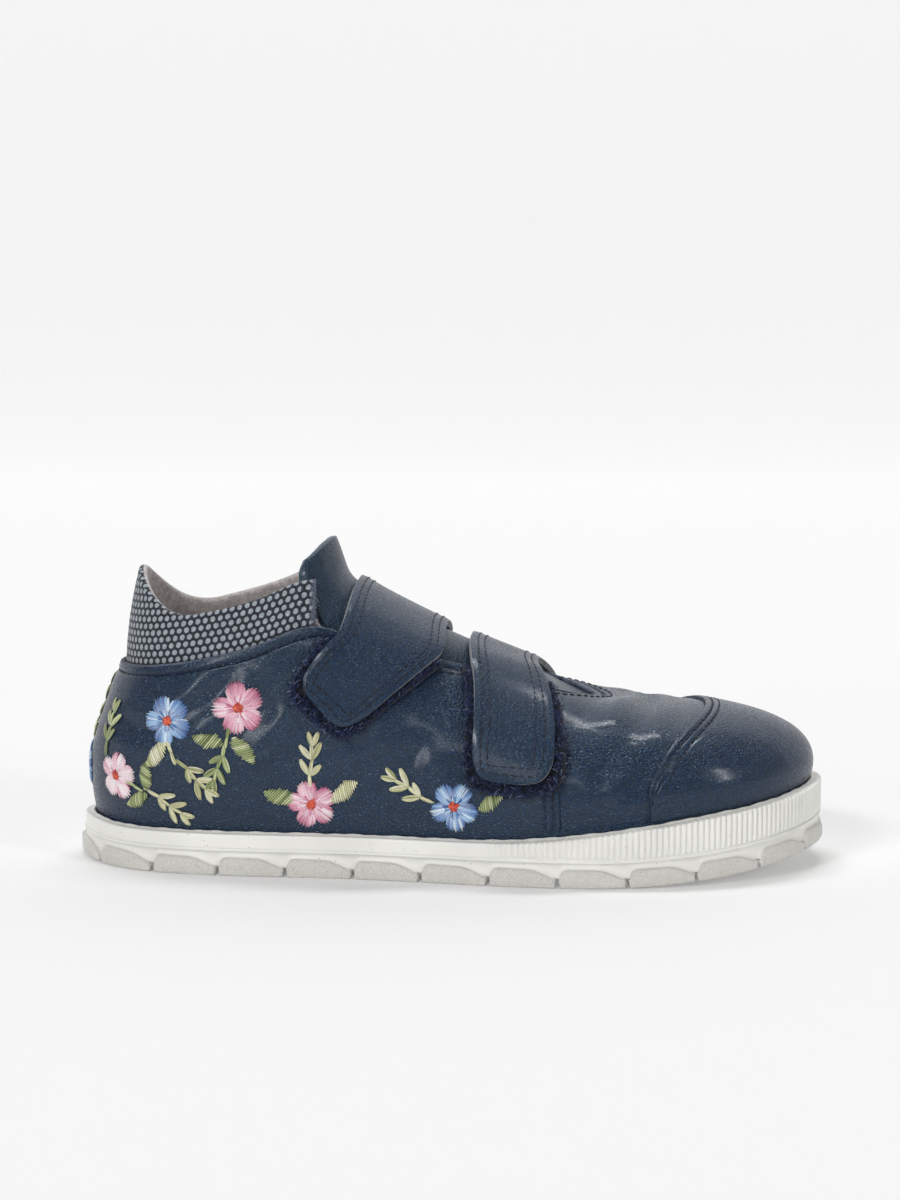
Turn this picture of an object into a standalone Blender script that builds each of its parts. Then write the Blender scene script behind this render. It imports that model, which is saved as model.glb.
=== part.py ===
"""Child's high-top sneaker for the right foot, standing empty on its sole.

Metres. +X points to the toe, +Y to the inner side of the foot and +Z up. The origin is on the floor under the middle
of the sole. All pieces come from two shapes: the outline of the sole seen from above, and the wall of the upper, which
rises from that outline to the edge of the collar and the throat.
"""

import bpy
import numpy as np

MM = 0.001

# Outline of the sole's side, seen from above, in millimetres
SOLE_OUTLINE = (
    # place, x, y
    ("heel back", -94.0, 0.0),
    ("heel outer corner", -84.5, -18.0),
    ("heel outer side", -62.0, -27.0),
    ("waist outer side", -24.0, -29.5),
    ("little toe joint", 26.0, -36.5),
    ("outer toe side", 60.0, -33.0),
    ("outer toe corner", 82.5, -20.5),
    ("toe tip", 94.0, 4.0),
    ("inner toe corner", 85.5, 23.5),
    ("inner toe side", 66.0, 33.0),
    ("big toe joint", 34.0, 36.5),
    ("waist inner side", -18.0, 28.0),
    ("heel inner side", -60.0, 26.5),
    ("heel inner corner", -84.5, 17.5),
)
OUTLINE_SAMPLES = 1440
RING_COLUMNS = 66
SPINE_POINTS = 17
SPINE_INSET = 20.0 * MM

# Ground line of the sole
TOE_SPRING = 6.0 * MM
TOE_SPRING_START = 36.0 * MM
HEEL_RISE = 1.0 * MM
HEEL_RISE_START = -78.0 * MM
ARCH_RISE = 1.2 * MM
ARCH_MIDDLE = -16.0 * MM
ARCH_REACH = 34.0 * MM

# Cup of the sole
FLOOR_HEIGHT = 5.0 * MM
RIM_HEIGHT = 10.4 * MM
RIM_HEIGHT_TOE = 15.4 * MM
RIM_RISE_START = 4.0 * MM
RIM_RISE_END = 72.0 * MM
RIM_THICKNESS = 2.4 * MM
RIM_ROUND = 0.5 * MM
BEAD_HEIGHT = 6.5 * MM
BEAD_HALF = 0.45 * MM
BEAD_PROUD = 0.5 * MM

# Pads that make the tread and climb the side
PADS_PER_SIDE = 13
PAD_PROUD = 1.1 * MM
PAD_DEPTH = 2.0 * MM
PAD_REACH = 10.0 * MM
PAD_CLIMB = 4.7 * MM
PAD_ROUND = 0.7 * MM
ISLAND_INSET = 14.5 * MM
PAD_COLUMNS = (
    # share of the pad's pitch from its heel end, share of the climb, 1 on the pad and 0 in the gap
    (0.000, 0.00, 0),
    (0.052, 0.00, 0),
    (0.068, 0.62, 1),
    (0.150, 1.00, 1),
    (0.620, 0.96, 1),
    (0.880, 0.66, 1),
    (0.984, 0.40, 1),
)

# Ribs of the toe bumper
RIB_PITCH = 1.55 * MM
RIB_PROUD = 0.6 * MM
RIB_START = 8.0 * MM
RIB_FADE = 12.0 * MM

# Wall of the upper, in millimetres
UPPER_WALL = (
    # place, x on the sole line, edge x, edge half gap, ridge y, edge z, flare, rise, handle x, handle out, handle z
    ("heel back", -94.0, -84.5, 0.0, 0.0, 50.0, 3.8, 17.0, -4.6, 0.0, -13.0),
    ("heel corner", -83.5, -77.2, 15.8, 0.0, 50.4, 3.6, 17.0, -3.0, 3.4, -13.0),
    ("ankle", -60.0, -58.0, 23.4, 0.0, 53.6, 3.0, 16.0, 0.0, 3.0, -13.5),
    ("shaft", -45.0, -44.5, 25.0, 0.0, 57.6, 2.8, 17.0, 0.0, 2.8, -14.5),
    ("collar front", -35.0, -37.5, 24.9, 0.0, 60.6, 2.8, 17.5, 1.5, 3.8, -15.0),
    ("front corner", -28.0, -31.5, 24.2, 0.2, 61.8, 2.8, 18.0, 3.0, 5.0, -14.5),
    ("throat top", -21.0, -26.0, 23.2, 0.4, 60.4, 2.8, 18.0, 4.0, 6.4, -13.5),
    ("throat high", -5.0, -10.0, 20.0, 0.8, 55.6, 3.0, 18.0, 5.0, 9.8, -11.2),
    ("throat middle", 13.0, 7.0, 16.2, 1.2, 51.0, 3.2, 18.0, 5.0, 12.6, -8.8),
    ("throat low", 32.0, 23.0, 12.0, 1.6, 47.0, 3.6, 17.5, 7.0, 14.5, -6.4),
    ("vamp side", 56.0, 32.0, 7.6, 2.0, 44.4, 4.2, 15.5, 17.0, 16.0, -3.2),
    ("toe corner", 82.0, 36.2, 3.4, 2.0, 43.0, 5.0, 14.0, 32.0, 10.0, -1.6),
    ("toe tip", 94.0, 37.2, 0.0, 2.0, 42.6, 5.0, 14.0, 39.0, 0.0, -1.2),
)
CORNER_ROW = 5
CUP_SHARE = 0.12
UPPER_ROWS = 8
WALL_THICKNESS = 1.9 * MM
EDGE_THICKNESS = 1.3 * MM
EDGE_TAPER_START = 0.80
SEAT_LIFT = 0.6 * MM
VAMP_STEP = 0.7 * MM
VAMP_SEAM_X = 29.0 * MM
SEAM_WIDTH = 0.5 * MM

# Toe cap
CAP_THICKNESS = 0.9 * MM
CAP_SEAM_TOP = 65.0 * MM
CAP_SEAM_DROP = 14.0 * MM
CAP_SEAM_HALF = 33.0 * MM
CAP_COLUMNS = 34
CAP_ROWS = 8
CAP_LEAST_SHARE = 0.05
CAP_START_SHARE = 0.014

# Cuff
CUFF_THICKNESS = 2.4 * MM
CUFF_TUCK_SHARE = 0.80
CUFF_HEIGHT = 11.0 * MM
CUFF_TAB_HEIGHT = 24.0 * MM
CUFF_TAB_HALF = 42.0 * MM
CUFF_FRONT_X = -33.0 * MM
CUFF_COLUMNS = 35
CUFF_LEAN = 0.14

# Tongue
TONGUE_THICKNESS = 2.8 * MM
TONGUE_FRONT = (
    # x, half width under the vamp, in millimetres
    (46.0, 10.0),
    (41.0, 11.5),
    (36.5, 12.5),
    (32.5, 13.5),
)
TONGUE_STATIONS = (25.0, 17.0, 8.0, -1.0, -10.0, -19.0, -27.5)
TONGUE_WING_SHARES = (0.84, 0.84, 0.84, 0.84, 0.85, 0.89, 0.96)
TONGUE_CROWN_DROP = 0.3 * MM
TONGUE_EDGE_DROP = 2.1 * MM
TONGUE_TOP = (
    # z, x of the middle, half width, set back of the sides, in millimetres
    (74.8, -26.8, 15.2, 3.0),
    (78.6, -28.8, 14.4, 3.0),
    (81.2, -29.9, 11.2, 2.4),
    (82.4, -30.3, 6.5, 1.6),
)

# Straps and the pile patches under them
STRAP_THICKNESS = 1.7 * MM
PATCH_THICKNESS = 1.2 * MM
PIECE_GAP = 0.3 * MM
STRAPS = (
    # name, edge x at the front, edge x at the back, wall share at the tip, at the sewn end, drift back, slant
    ("lower", 23.0, 5.5, 0.34, 0.44, 4.0, 0.06),
    ("upper", -1.0, -26.0, 0.52, 0.50, 27.0, 0.48),
)
STRAP_WIDTH_POINTS = 6
STRAP_TIP_SHARE = 0.17
STRAP_TIP_POWER = 2.6
STRAP_TIP_FLAT = 0.42
PATCH_SIDE_MARGIN = 1.0 * MM
PATCH_TIP_MARGIN = 0.02
PATCH_TOP_SHARE = 0.955

# Insole
INSOLE_THICKNESS = 3.2 * MM

FINISHES = {
    # name: linear colour, roughness
    "rubber": ((0.78, 0.75, 0.70), 0.55),
    "leather": ((0.020, 0.038, 0.085), 0.42),
    "cap leather": ((0.022, 0.041, 0.090), 0.40),
    "strap leather": ((0.018, 0.034, 0.078), 0.45),
    "tongue leather": ((0.016, 0.035, 0.065), 0.50),
    "dotted textile": ((0.060, 0.068, 0.080), 0.80),
    "pile": ((0.010, 0.014, 0.030), 0.95),
    "footbed": ((0.55, 0.52, 0.50), 0.90),
}


def smoothstep(value, start, end):
    """Smooth ramp from 0 at start to 1 at end."""
    share = np.clip((value - start) / (end - start), 0.0, 1.0)
    return share * share * (3.0 - 2.0 * share)


def unit(vectors):
    """Vectors of the last axis at length one."""
    return vectors / np.linalg.norm(vectors, axis=-1, keepdims=True)


def closed_spline(knots, values):
    """Periodic cubic spline, period 1, through the values at the knots."""
    count = len(knots)
    step = np.diff(np.append(knots, knots[0] + 1.0))
    slope = (np.roll(values, -1, axis=0) - values) / step[:, None]
    matrix = np.zeros((count, count))
    for row in range(count):
        matrix[row, row - 1] = step[row - 1]
        matrix[row, row] = 2.0 * (step[row - 1] + step[row])
        matrix[row, (row + 1) % count] = step[row]
    bend = np.linalg.solve(matrix, 6.0 * (slope - np.roll(slope, 1, axis=0)))

    def curve(u):
        place = (np.asarray(u, float) - knots[0]) % 1.0 + knots[0]
        left = np.searchsorted(knots, place, side="right") - 1
        right = (left + 1) % count
        width = step[left][..., None]
        after = (place - knots[left])[..., None] / width
        before = 1.0 - after
        curved = (before**3 - before) * bend[left] + (after**3 - after) * bend[right]
        return before * values[left] + after * values[right] + curved * width**2 / 6.0

    return curve


def trace_outline():
    """Outline of the sole as a function of its share u of the way round: heel, outer side, toe, inner side."""
    rows = np.array([row[1:] for row in SOLE_OUTLINE]) * MM
    chords = np.linalg.norm(np.roll(rows, -1, axis=0) - rows, axis=1)
    curve = closed_spline((np.cumsum(chords) - chords) / chords.sum(), rows)
    samples = np.linspace(0.0, 1.0, OUTLINE_SAMPLES + 1)
    points = curve(samples)
    lengths = np.append(0.0, np.cumsum(np.linalg.norm(np.diff(points, axis=0), axis=1)))
    middle = (points.max(axis=0) + points.min(axis=0)) / 2.0

    def outline(u):
        return curve(np.interp(np.asarray(u, float) % 1.0, lengths / lengths[-1], samples)) - middle

    return outline, lengths[-1]


outline, GIRTH = trace_outline()
ROUND_U = np.linspace(0.0, 1.0, OUTLINE_SAMPLES, endpoint=False)
ROUND_XY = outline(ROUND_U)
TIP = int(np.argmax(ROUND_XY[:, 0]))
TIP_U = ROUND_U[TIP]
OUTER, INNER = -1, 1


def side_u(x, side):
    """Share u of the place on the outer or inner side of the outline at this x."""
    if side == OUTER:
        return np.interp(x, ROUND_XY[: TIP + 1, 0], ROUND_U[: TIP + 1])
    return np.interp(x, ROUND_XY[:TIP:-1, 0], ROUND_U[:TIP:-1])


def outward(u):
    """Unit normal of the outline, pointing away from the foot."""
    ahead = outline(np.asarray(u) + 0.0015) - outline(np.asarray(u) - 0.0015)
    return unit(np.stack([ahead[..., 1], -ahead[..., 0]], axis=-1))


def lift(xy):
    """Height of the ground line: toe spring, heel rise and the arch on the inner side."""
    x, y = xy[..., 0], xy[..., 1]
    toe = np.clip((x - TOE_SPRING_START) / (ROUND_XY[TIP, 0] - TOE_SPRING_START), 0.0, None)
    heel = np.clip((HEEL_RISE_START - x) / (HEEL_RISE_START - ROUND_XY[0, 0]), 0.0, None)
    along = smoothstep(ARCH_REACH - np.abs(x - ARCH_MIDDLE), 0.0, ARCH_REACH)
    arch = along * smoothstep(y, 0.0, ROUND_XY[:, 1].max() * 0.7)
    return TOE_SPRING * toe**2 + HEEL_RISE * heel**2 + ARCH_RISE * arch


def rim_height(x):
    """Height of the cup's rim above the ground line: low at the sides, high round the toe."""
    return RIM_HEIGHT + (RIM_HEIGHT_TOE - RIM_HEIGHT) * smoothstep(x, RIM_RISE_START, RIM_RISE_END)


class RingMesh:
    """Closed rings of points, each joined to the one before by triangles."""

    def __init__(self):
        self.points = []
        self.faces = []

    def ring(self, u, out, height):
        """Ring at this distance out from the sole's side and this height above the ground line."""
        xy = outline(u) + outward(u) * np.broadcast_to(out, u.shape)[:, None]
        points = np.column_stack([xy, np.broadcast_to(height, u.shape) + lift(xy)])
        first = len(self.points)
        self.points.extend(points)
        return [(place, first + step) for step, place in enumerate(u)]

    def spine(self, height):
        """Middle line from heel to toe, walked out along the outer side and back along the inner."""
        x = np.linspace(ROUND_XY[0, 0] + SPINE_INSET, ROUND_XY[TIP, 0] - SPINE_INSET, SPINE_POINTS)
        outer = side_u(x, OUTER)
        inner = side_u(x, INNER)
        xy = (outline(outer) + outline(inner)) / 2.0
        points = np.column_stack([xy, height + lift(xy)])
        first = len(self.points)
        self.points.extend(points)
        last = SPINE_POINTS - 1
        walk = [(0.0, first)]
        walk += [(outer[step], first + step) for step in range(1, last)]
        walk += [(TIP_U, first + last)]
        walk += [(inner[step], first + step) for step in range(last - 1, 0, -1)]
        return walk

    def join(self, lower, upper):
        """Triangles between two rings, whatever their counts of points."""
        low_next = [place for place, _ in lower[1:]] + [lower[0][0] + 1.0]
        high_next = [place for place, _ in upper[1:]] + [upper[0][0] + 1.0]
        low, high = 0, 0
        while low < len(lower) or high < len(upper):
            a = lower[low % len(lower)][1]
            b = upper[high % len(upper)][1]
            if high == len(upper) or (low < len(lower) and low_next[low] <= high_next[high]):
                self.faces.append((a, lower[(low + 1) % len(lower)][1], b))
                low += 1
            else:
                self.faces.append((a, upper[(high + 1) % len(upper)][1], b))
                high += 1

    def chain(self, rings):
        """Joins each ring to the next."""
        for lower, upper in zip(rings, rings[1:]):
            self.join(lower, upper)


def make_piece(name, points, faces, finish):
    """Mesh object with its own material."""
    mesh = bpy.data.meshes.new(name)
    mesh.from_pydata([tuple(point) for point in points], [], faces)
    mesh.polygons.foreach_set("use_smooth", [True] * len(mesh.polygons))
    piece = bpy.data.objects.new(name, mesh)
    bpy.context.scene.collection.objects.link(piece)
    colour, roughness = FINISHES[finish]
    material = bpy.data.materials.new(name)
    material.use_nodes = True
    shader = material.node_tree.nodes["Principled BSDF"]
    shader.inputs["Base Color"].default_value = (*colour, 1.0)
    shader.inputs["Roughness"].default_value = roughness
    mesh.materials.append(material)
    return piece


def grid_faces(rows, columns, wrap=False):
    """Four-sided faces of a grid of points, facing along columns crossed with rows."""
    faces = []
    for row in range(rows - 1):
        for column in range(columns if wrap else columns - 1):
            ahead = (column + 1) % columns
            low, high = row * columns, (row + 1) * columns
            faces.append((low + column, low + ahead, high + ahead, high + column))
    return faces


def grid_normals(grid):
    """Unit normals of an open grid of points."""
    return unit(np.cross(np.gradient(grid, axis=1), np.gradient(grid, axis=0)))


def sheet_piece(name, grid, thickness, finish, outwards):
    """Grid of points thickened to a closed sheet, away from the foot or towards it."""
    rows, columns = grid.shape[:2]
    piece = make_piece(name, grid.reshape(-1, 3), grid_faces(rows, columns), finish)
    solidify = piece.modifiers.new("thickness", "SOLIDIFY")
    solidify.thickness = thickness
    solidify.offset = 1.0 if outwards else -1.0
    return piece


def build_outsole():
    """Moulded cup sole: tread pads, bead round the side, ribbed toe bumper and rim."""
    body = RingMesh()
    even = np.linspace(0.0, 1.0, RING_COLUMNS, endpoint=False)
    shares, climbs, stands = np.array(PAD_COLUMNS).T
    steps = np.arange(PADS_PER_SIDE)[:, None]
    outer_u = ((steps + shares) / PADS_PER_SIDE * TIP_U).ravel()
    inner_u = 1.0 - ((steps + shares) / PADS_PER_SIDE * (1.0 - TIP_U)).ravel()
    pad_u = np.append(outer_u, inner_u[:0:-1])
    climb = np.append(np.tile(climbs, PADS_PER_SIDE), np.tile(climbs, PADS_PER_SIDE)[:0:-1])
    stand = np.append(np.tile(stands, PADS_PER_SIDE), np.tile(stands, PADS_PER_SIDE)[:0:-1])
    top = np.maximum(PAD_CLIMB * climb, PAD_DEPTH + 0.4 * MM)
    sole_plane = PAD_DEPTH * (1.0 - stand)

    rib_first = side_u(RIB_START, OUTER)
    rib_last = side_u(RIB_START, INNER)
    rib_count = 2 * int((rib_last - rib_first) * GIRTH / RIB_PITCH)
    rib_u = np.linspace(rib_first, rib_last, rib_count + 1)
    band_u = np.concatenate([even[even < rib_first - 0.004], rib_u, even[even > rib_last + 0.004]])
    wave = np.zeros(len(band_u))
    start = int(np.searchsorted(band_u, rib_first))
    wave[start + 1 : start + rib_count : 2] = RIB_PROUD
    wave *= smoothstep(outline(band_u)[:, 0], RIB_START, RIB_START + RIB_FADE)
    band_rim = rim_height(outline(band_u)[:, 0])
    even_rim = rim_height(outline(even)[:, 0])
    bead_low = BEAD_HEIGHT - BEAD_HALF
    bead_high = BEAD_HEIGHT + BEAD_HALF

    body.chain(
        [
            body.spine(0.0),
            body.ring(even, -ISLAND_INSET, 0.0),
            body.ring(even, -ISLAND_INSET + PAD_ROUND, PAD_DEPTH),
            body.ring(pad_u, -PAD_REACH - PAD_ROUND * stand, PAD_DEPTH),
            body.ring(pad_u, -PAD_REACH, sole_plane),
            body.ring(pad_u, -PAD_ROUND * (1.0 - stand), sole_plane),
            body.ring(pad_u, PAD_PROUD * stand, sole_plane + PAD_ROUND * stand + 0.1 * MM),
            body.ring(pad_u, PAD_PROUD * stand, top - PAD_ROUND * stand - 0.1 * MM),
            body.ring(pad_u, 0.0 * stand, top),
            body.ring(even, 0.0, bead_low),
            body.ring(even, BEAD_PROUD, BEAD_HEIGHT),
            body.ring(even, 0.0, bead_high),
            body.ring(band_u, wave, bead_high + 0.3 * MM),
            body.ring(band_u, wave, band_rim - RIM_ROUND),
            body.ring(even, -RIM_ROUND, even_rim),
            body.ring(even, -RIM_THICKNESS, even_rim),
            body.ring(even, -RIM_THICKNESS, FLOOR_HEIGHT),
            body.spine(FLOOR_HEIGHT),
        ]
    )
    make_piece("outsole", body.points, body.faces, "rubber")


def build_insole():
    """Flat footbed lying in the cup, inside the wall of the upper."""
    body = RingMesh()
    even = np.linspace(0.0, 1.0, RING_COLUMNS, endpoint=False)
    edge = -(RIM_THICKNESS + PIECE_GAP + WALL_THICKNESS + 2.0 * PIECE_GAP)
    low = FLOOR_HEIGHT + 1.4 * PIECE_GAP
    high = low + INSOLE_THICKNESS
    body.chain([body.spine(low), body.ring(even, edge, low), body.ring(even, edge, high), body.spine(high)])
    make_piece("insole", body.points, body.faces, "footbed")


def read_wall_table():
    """Spline of the wall table round the shoe, and the share u at the rows' places."""
    rows = np.array([row[1:] for row in UPPER_WALL]) * MM
    places, values = [], []
    for side, table in ((OUTER, rows), (INNER, rows[-2:0:-1])):
        for foot_x, edge_x, half, ridge, edge_z, flare, rise, handle_x, handle_out, handle_z in table:
            places.append(float(side_u(foot_x, side)))
            edge = (edge_x, ridge + side * half, edge_z)
            values.append((*edge, flare, rise, handle_x, side * handle_out, handle_z))
    places[0] = 0.0
    places[len(rows) - 1] = TIP_U
    return closed_spline(np.array(places), np.array(values))


wall_table = read_wall_table()


def wall(u, t):
    """Outer face of the upper: u is the share round the shoe, t runs from the cup's floor to the edge."""
    u, t = np.broadcast_arrays(np.asarray(u, float), np.asarray(t, float))
    foot = outline(u) - outward(u) * (RIM_THICKNESS + PIECE_GAP)
    ground = lift(foot)
    low = ground + FLOOR_HEIGHT + PIECE_GAP
    high = ground + rim_height(foot[..., 0]) + SEAT_LIFT
    table = wall_table(u)
    start = np.concatenate([foot, high[..., None]], axis=-1)
    flare = np.concatenate([outward(u) * table[..., 3:4], table[..., 4:5]], axis=-1)
    edge = table[..., 0:3]
    share = np.clip((t - CUP_SHARE) / (1.0 - CUP_SHARE), 0.0, 1.0)[..., None]
    rest = 1.0 - share
    curve = rest**3 * start + 3.0 * rest**2 * share * (start + flare)
    curve = curve + 3.0 * rest * share**2 * (edge + table[..., 5:8]) + share**3 * edge
    cup = np.clip(t / CUP_SHARE, 0.0, 1.0)
    curve[..., 2] -= (high - low) * (1.0 - cup)
    return curve


def wall_normal(u, t):
    """Unit normal of the upper's outer face, pointing away from the foot."""
    step = 0.002
    t = np.clip(t, step, 1.0 - step)
    along = wall(u + step, t) - wall(u - step, t)
    up = wall(u, t + step) - wall(u, t - step)
    return unit(np.cross(along, up))


def wall_thickness(t):
    """Thickness of the upper: full below, skived towards its edge."""
    return WALL_THICKNESS + (EDGE_THICKNESS - WALL_THICKNESS) * smoothstep(t, EDGE_TAPER_START, 1.0)


def vamp_relief(u, t):
    """Depth of the vamp below the quarters, which overlap it."""
    seam_outer = side_u(VAMP_SEAM_X, OUTER)
    seam_inner = side_u(VAMP_SEAM_X, INNER)
    width = SEAM_WIDTH / GIRTH
    inside = smoothstep(u, seam_outer, seam_outer + width) * smoothstep(-u, -seam_inner, -seam_inner + width)
    return VAMP_STEP * inside * smoothstep(t, CUP_SHARE, CUP_SHARE + 0.03)


def upper_columns():
    """Shares u of the upper's columns: even round the shoe, with a pair at each side of the vamp."""
    width = SEAM_WIDTH / GIRTH
    seams = [side_u(VAMP_SEAM_X, OUTER), side_u(VAMP_SEAM_X, INNER)]
    columns = np.linspace(0.0, 1.0, RING_COLUMNS, endpoint=False)
    far = np.min(np.abs(columns[:, None] - np.array(seams)), axis=1) > 0.006
    return np.sort(np.concatenate([columns[far], seams, [seams[0] + width, seams[1] - width]]))


def build_upper():
    """Hollow leather wall: quarters and vamp, open at collar, throat and underneath."""
    columns = upper_columns()
    rises = np.concatenate([[0.0, CUP_SHARE, CUP_SHARE + 0.03], np.linspace(0.24, 1.0, UPPER_ROWS)])
    u, t = np.meshgrid(columns, rises)
    normal = wall_normal(u, t)
    face = wall(u, t) - normal * vamp_relief(u, t)[..., None]
    back = wall(u, t) - normal * wall_thickness(t)[..., None]
    count, rows = len(columns), len(rises)
    loop = np.concatenate([face, back[::-1]]).reshape(-1, 3)
    faces = grid_faces(2 * rows, count, wrap=True)
    last = (2 * rows - 1) * count
    faces += [(last + i, last + (i + 1) % count, (i + 1) % count, i) for i in range(count)]
    make_piece("upper", loop, faces, "leather")


def build_toe_cap():
    """Leather overlay on the front of the vamp, cut from the upper's own face."""
    shares = np.linspace(CUP_SHARE + CAP_START_SHARE, 1.0, 240)

    def seam_share(u):
        points = wall(np.full(shares.shape, u), shares)
        seam = CAP_SEAM_TOP - CAP_SEAM_DROP * (points[:, 1] / CAP_SEAM_HALF) ** 2
        behind = np.nonzero(points[:, 0] < seam)[0]
        return shares[behind[0]] if len(behind) else 1.0

    behind_seam = CAP_SEAM_TOP - 2.0 * CAP_SEAM_DROP
    fine = np.linspace(side_u(behind_seam, OUTER), side_u(behind_seam, INNER), 500)
    held = np.array([u for u in fine if seam_share(u) - shares[0] > CAP_LEAST_SHARE])
    columns = np.linspace(held[0], held[-1], CAP_COLUMNS)
    tops = np.array([seam_share(u) for u in columns])
    t = shares[0] + (tops - shares[0]) * np.linspace(0.0, 1.0, CAP_ROWS)[:, None]
    u = np.broadcast_to(columns, t.shape)
    height = PIECE_GAP - vamp_relief(u, t)
    grid = wall(u, t) + wall_normal(u, t) * height[..., None]
    sheet_piece("toe_cap", grid, CAP_THICKNESS, "cap leather", outwards=True)


def edge_u(x, side):
    """Share u of the place on the throat's edge at this x."""
    start = side_u(UPPER_WALL[CORNER_ROW][1] * MM, side)
    walk = start + (TIP_U - start) * np.linspace(0.0, 1.0, 400)
    along = wall(walk, 1.0)[:, 0]
    return np.interp(x, along, walk)


def throat_bridge(x, share):
    """Surface that carries the upper across the throat, from the outer edge at share 0 to the inner at 1."""
    ends, handles = [], []
    for side in (OUTER, INNER):
        u = edge_u(x, side)
        edge = wall(u, 1.0)
        along = wall(u + 0.002, 1.0) - wall(u - 0.002, 1.0)
        across = unit(np.cross(wall_normal(u, 1.0), along))
        ends.append(edge)
        handles.append(across)
    reach = 0.36 * np.linalg.norm(ends[1] - ends[0], axis=-1, keepdims=True)
    share = share[..., None]
    rest = 1.0 - share
    curve = rest**3 * ends[0] + 3.0 * rest**2 * share * (ends[0] + reach * handles[0])
    return curve + 3.0 * rest * share**2 * (ends[1] + reach * handles[1]) + share**3 * ends[1]


def saddle(x, outer_shares, bridge_shares, inner_shares, drift=0.0):
    """Grid over the instep: rows follow x along the throat, columns run up the outer side, across and down the inner.

    Drift leads the sides back towards the heel, by this share of the outline for each share of the wall.
    """
    low, high = outer_shares.shape[-1], outer_shares.shape[-1] + len(bridge_shares)
    outer = wall(edge_u(x[:, :low], OUTER) - drift * (1.0 - outer_shares), outer_shares)
    across = throat_bridge(x[:, low:high], np.broadcast_to(bridge_shares, x[:, low:high].shape))
    inner = wall(edge_u(x[:, high:], INNER) + drift * (1.0 - inner_shares), inner_shares)
    return np.concatenate([outer, across, inner], axis=1)


def build_straps():
    """Leather straps over the throat, each sewn to the inner side and closed on a pile patch on the outer side."""
    for name, front_x, back_x, tip_share, sewn_share, drift_back, slant in STRAPS:
        tip_shares = np.linspace(tip_share, 1.0, 11)
        bridge_shares = np.linspace(0.0, 1.0, 9)[1:-1]
        sewn_shares = np.linspace(1.0, sewn_share, 7)
        columns = len(tip_shares) + len(bridge_shares) + len(sewn_shares)
        drift = drift_back * MM / GIRTH / (1.0 - tip_share)
        short = 1.0 - np.clip((tip_shares - tip_share) / STRAP_TIP_SHARE, 0.0, 1.0)
        tip = STRAP_TIP_FLAT + (1.0 - STRAP_TIP_FLAT) * (1.0 - short**STRAP_TIP_POWER) ** (1.0 / STRAP_TIP_POWER)
        narrow = np.append(tip, np.ones(columns - len(tip)))
        across = np.linspace(-0.5, 0.5, STRAP_WIDTH_POINTS)[:, None]
        middle = (front_x + back_x) / 2.0 * MM
        width = (front_x - back_x) * MM
        outer_shares = 1.0 - (1.0 - tip_shares) * (1.0 - slant * (0.5 - across * tip))
        inner_shares = 1.0 - (1.0 - sewn_shares) * (1.0 - slant * (0.5 - across))
        grid = saddle(middle + width * across * narrow, outer_shares, bridge_shares, inner_shares, drift)[::-1]
        over_patch = smoothstep(-np.arange(columns), -len(tip) - 3.0, -len(tip) + 0.5)
        height = PIECE_GAP * 1.4 + (PATCH_THICKNESS + PIECE_GAP) * over_patch
        grid = grid + strap_normals(grid) * height[:, None]
        sheet_piece("strap_" + name, grid, STRAP_THICKNESS, "strap leather", outwards=True)

        patch_x = middle + (width + 2.0 * PATCH_SIDE_MARGIN) * across.T * tip[:, None]
        t = np.linspace(tip_share - PATCH_TIP_MARGIN, PATCH_TOP_SHARE, len(tip))[:, None]
        t = 1.0 - (1.0 - t) * (1.0 - slant * (0.5 - across.T * tip[:, None]))
        u = edge_u(patch_x, OUTER) - drift * (1.0 - t)
        patch = wall(u, t) + wall_normal(u, t) * PIECE_GAP
        sheet_piece("loop_patch_" + name, patch, PATCH_THICKNESS, "pile", outwards=True)


def strap_normals(grid):
    """Normals of a grid over the instep, turned away from the foot."""
    normal = grid_normals(grid)
    return normal * np.sign(normal[:, grid.shape[1] // 2, 2].mean())


def under_vamp(x, y):
    """Height of the vamp's lining side over these places, a gap below it; its edge counts across the throat."""
    ends = edge_u(TONGUE_STATIONS[0] * MM, OUTER), edge_u(TONGUE_STATIONS[0] * MM, INNER)
    u, t = np.meshgrid(np.linspace(*ends, 240), np.linspace(0.6, 1.0, 120))
    points = wall(u, t) - wall_normal(u, t) * (wall_thickness(t) + 1.5 * PIECE_GAP)[..., None]
    points = points.reshape(-1, 3)
    away = (points[:, 0] - x[..., None]) ** 2 + (points[:, 1] - y[..., None]) ** 2
    return points[np.argmin(away, axis=-1), 2]


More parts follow.
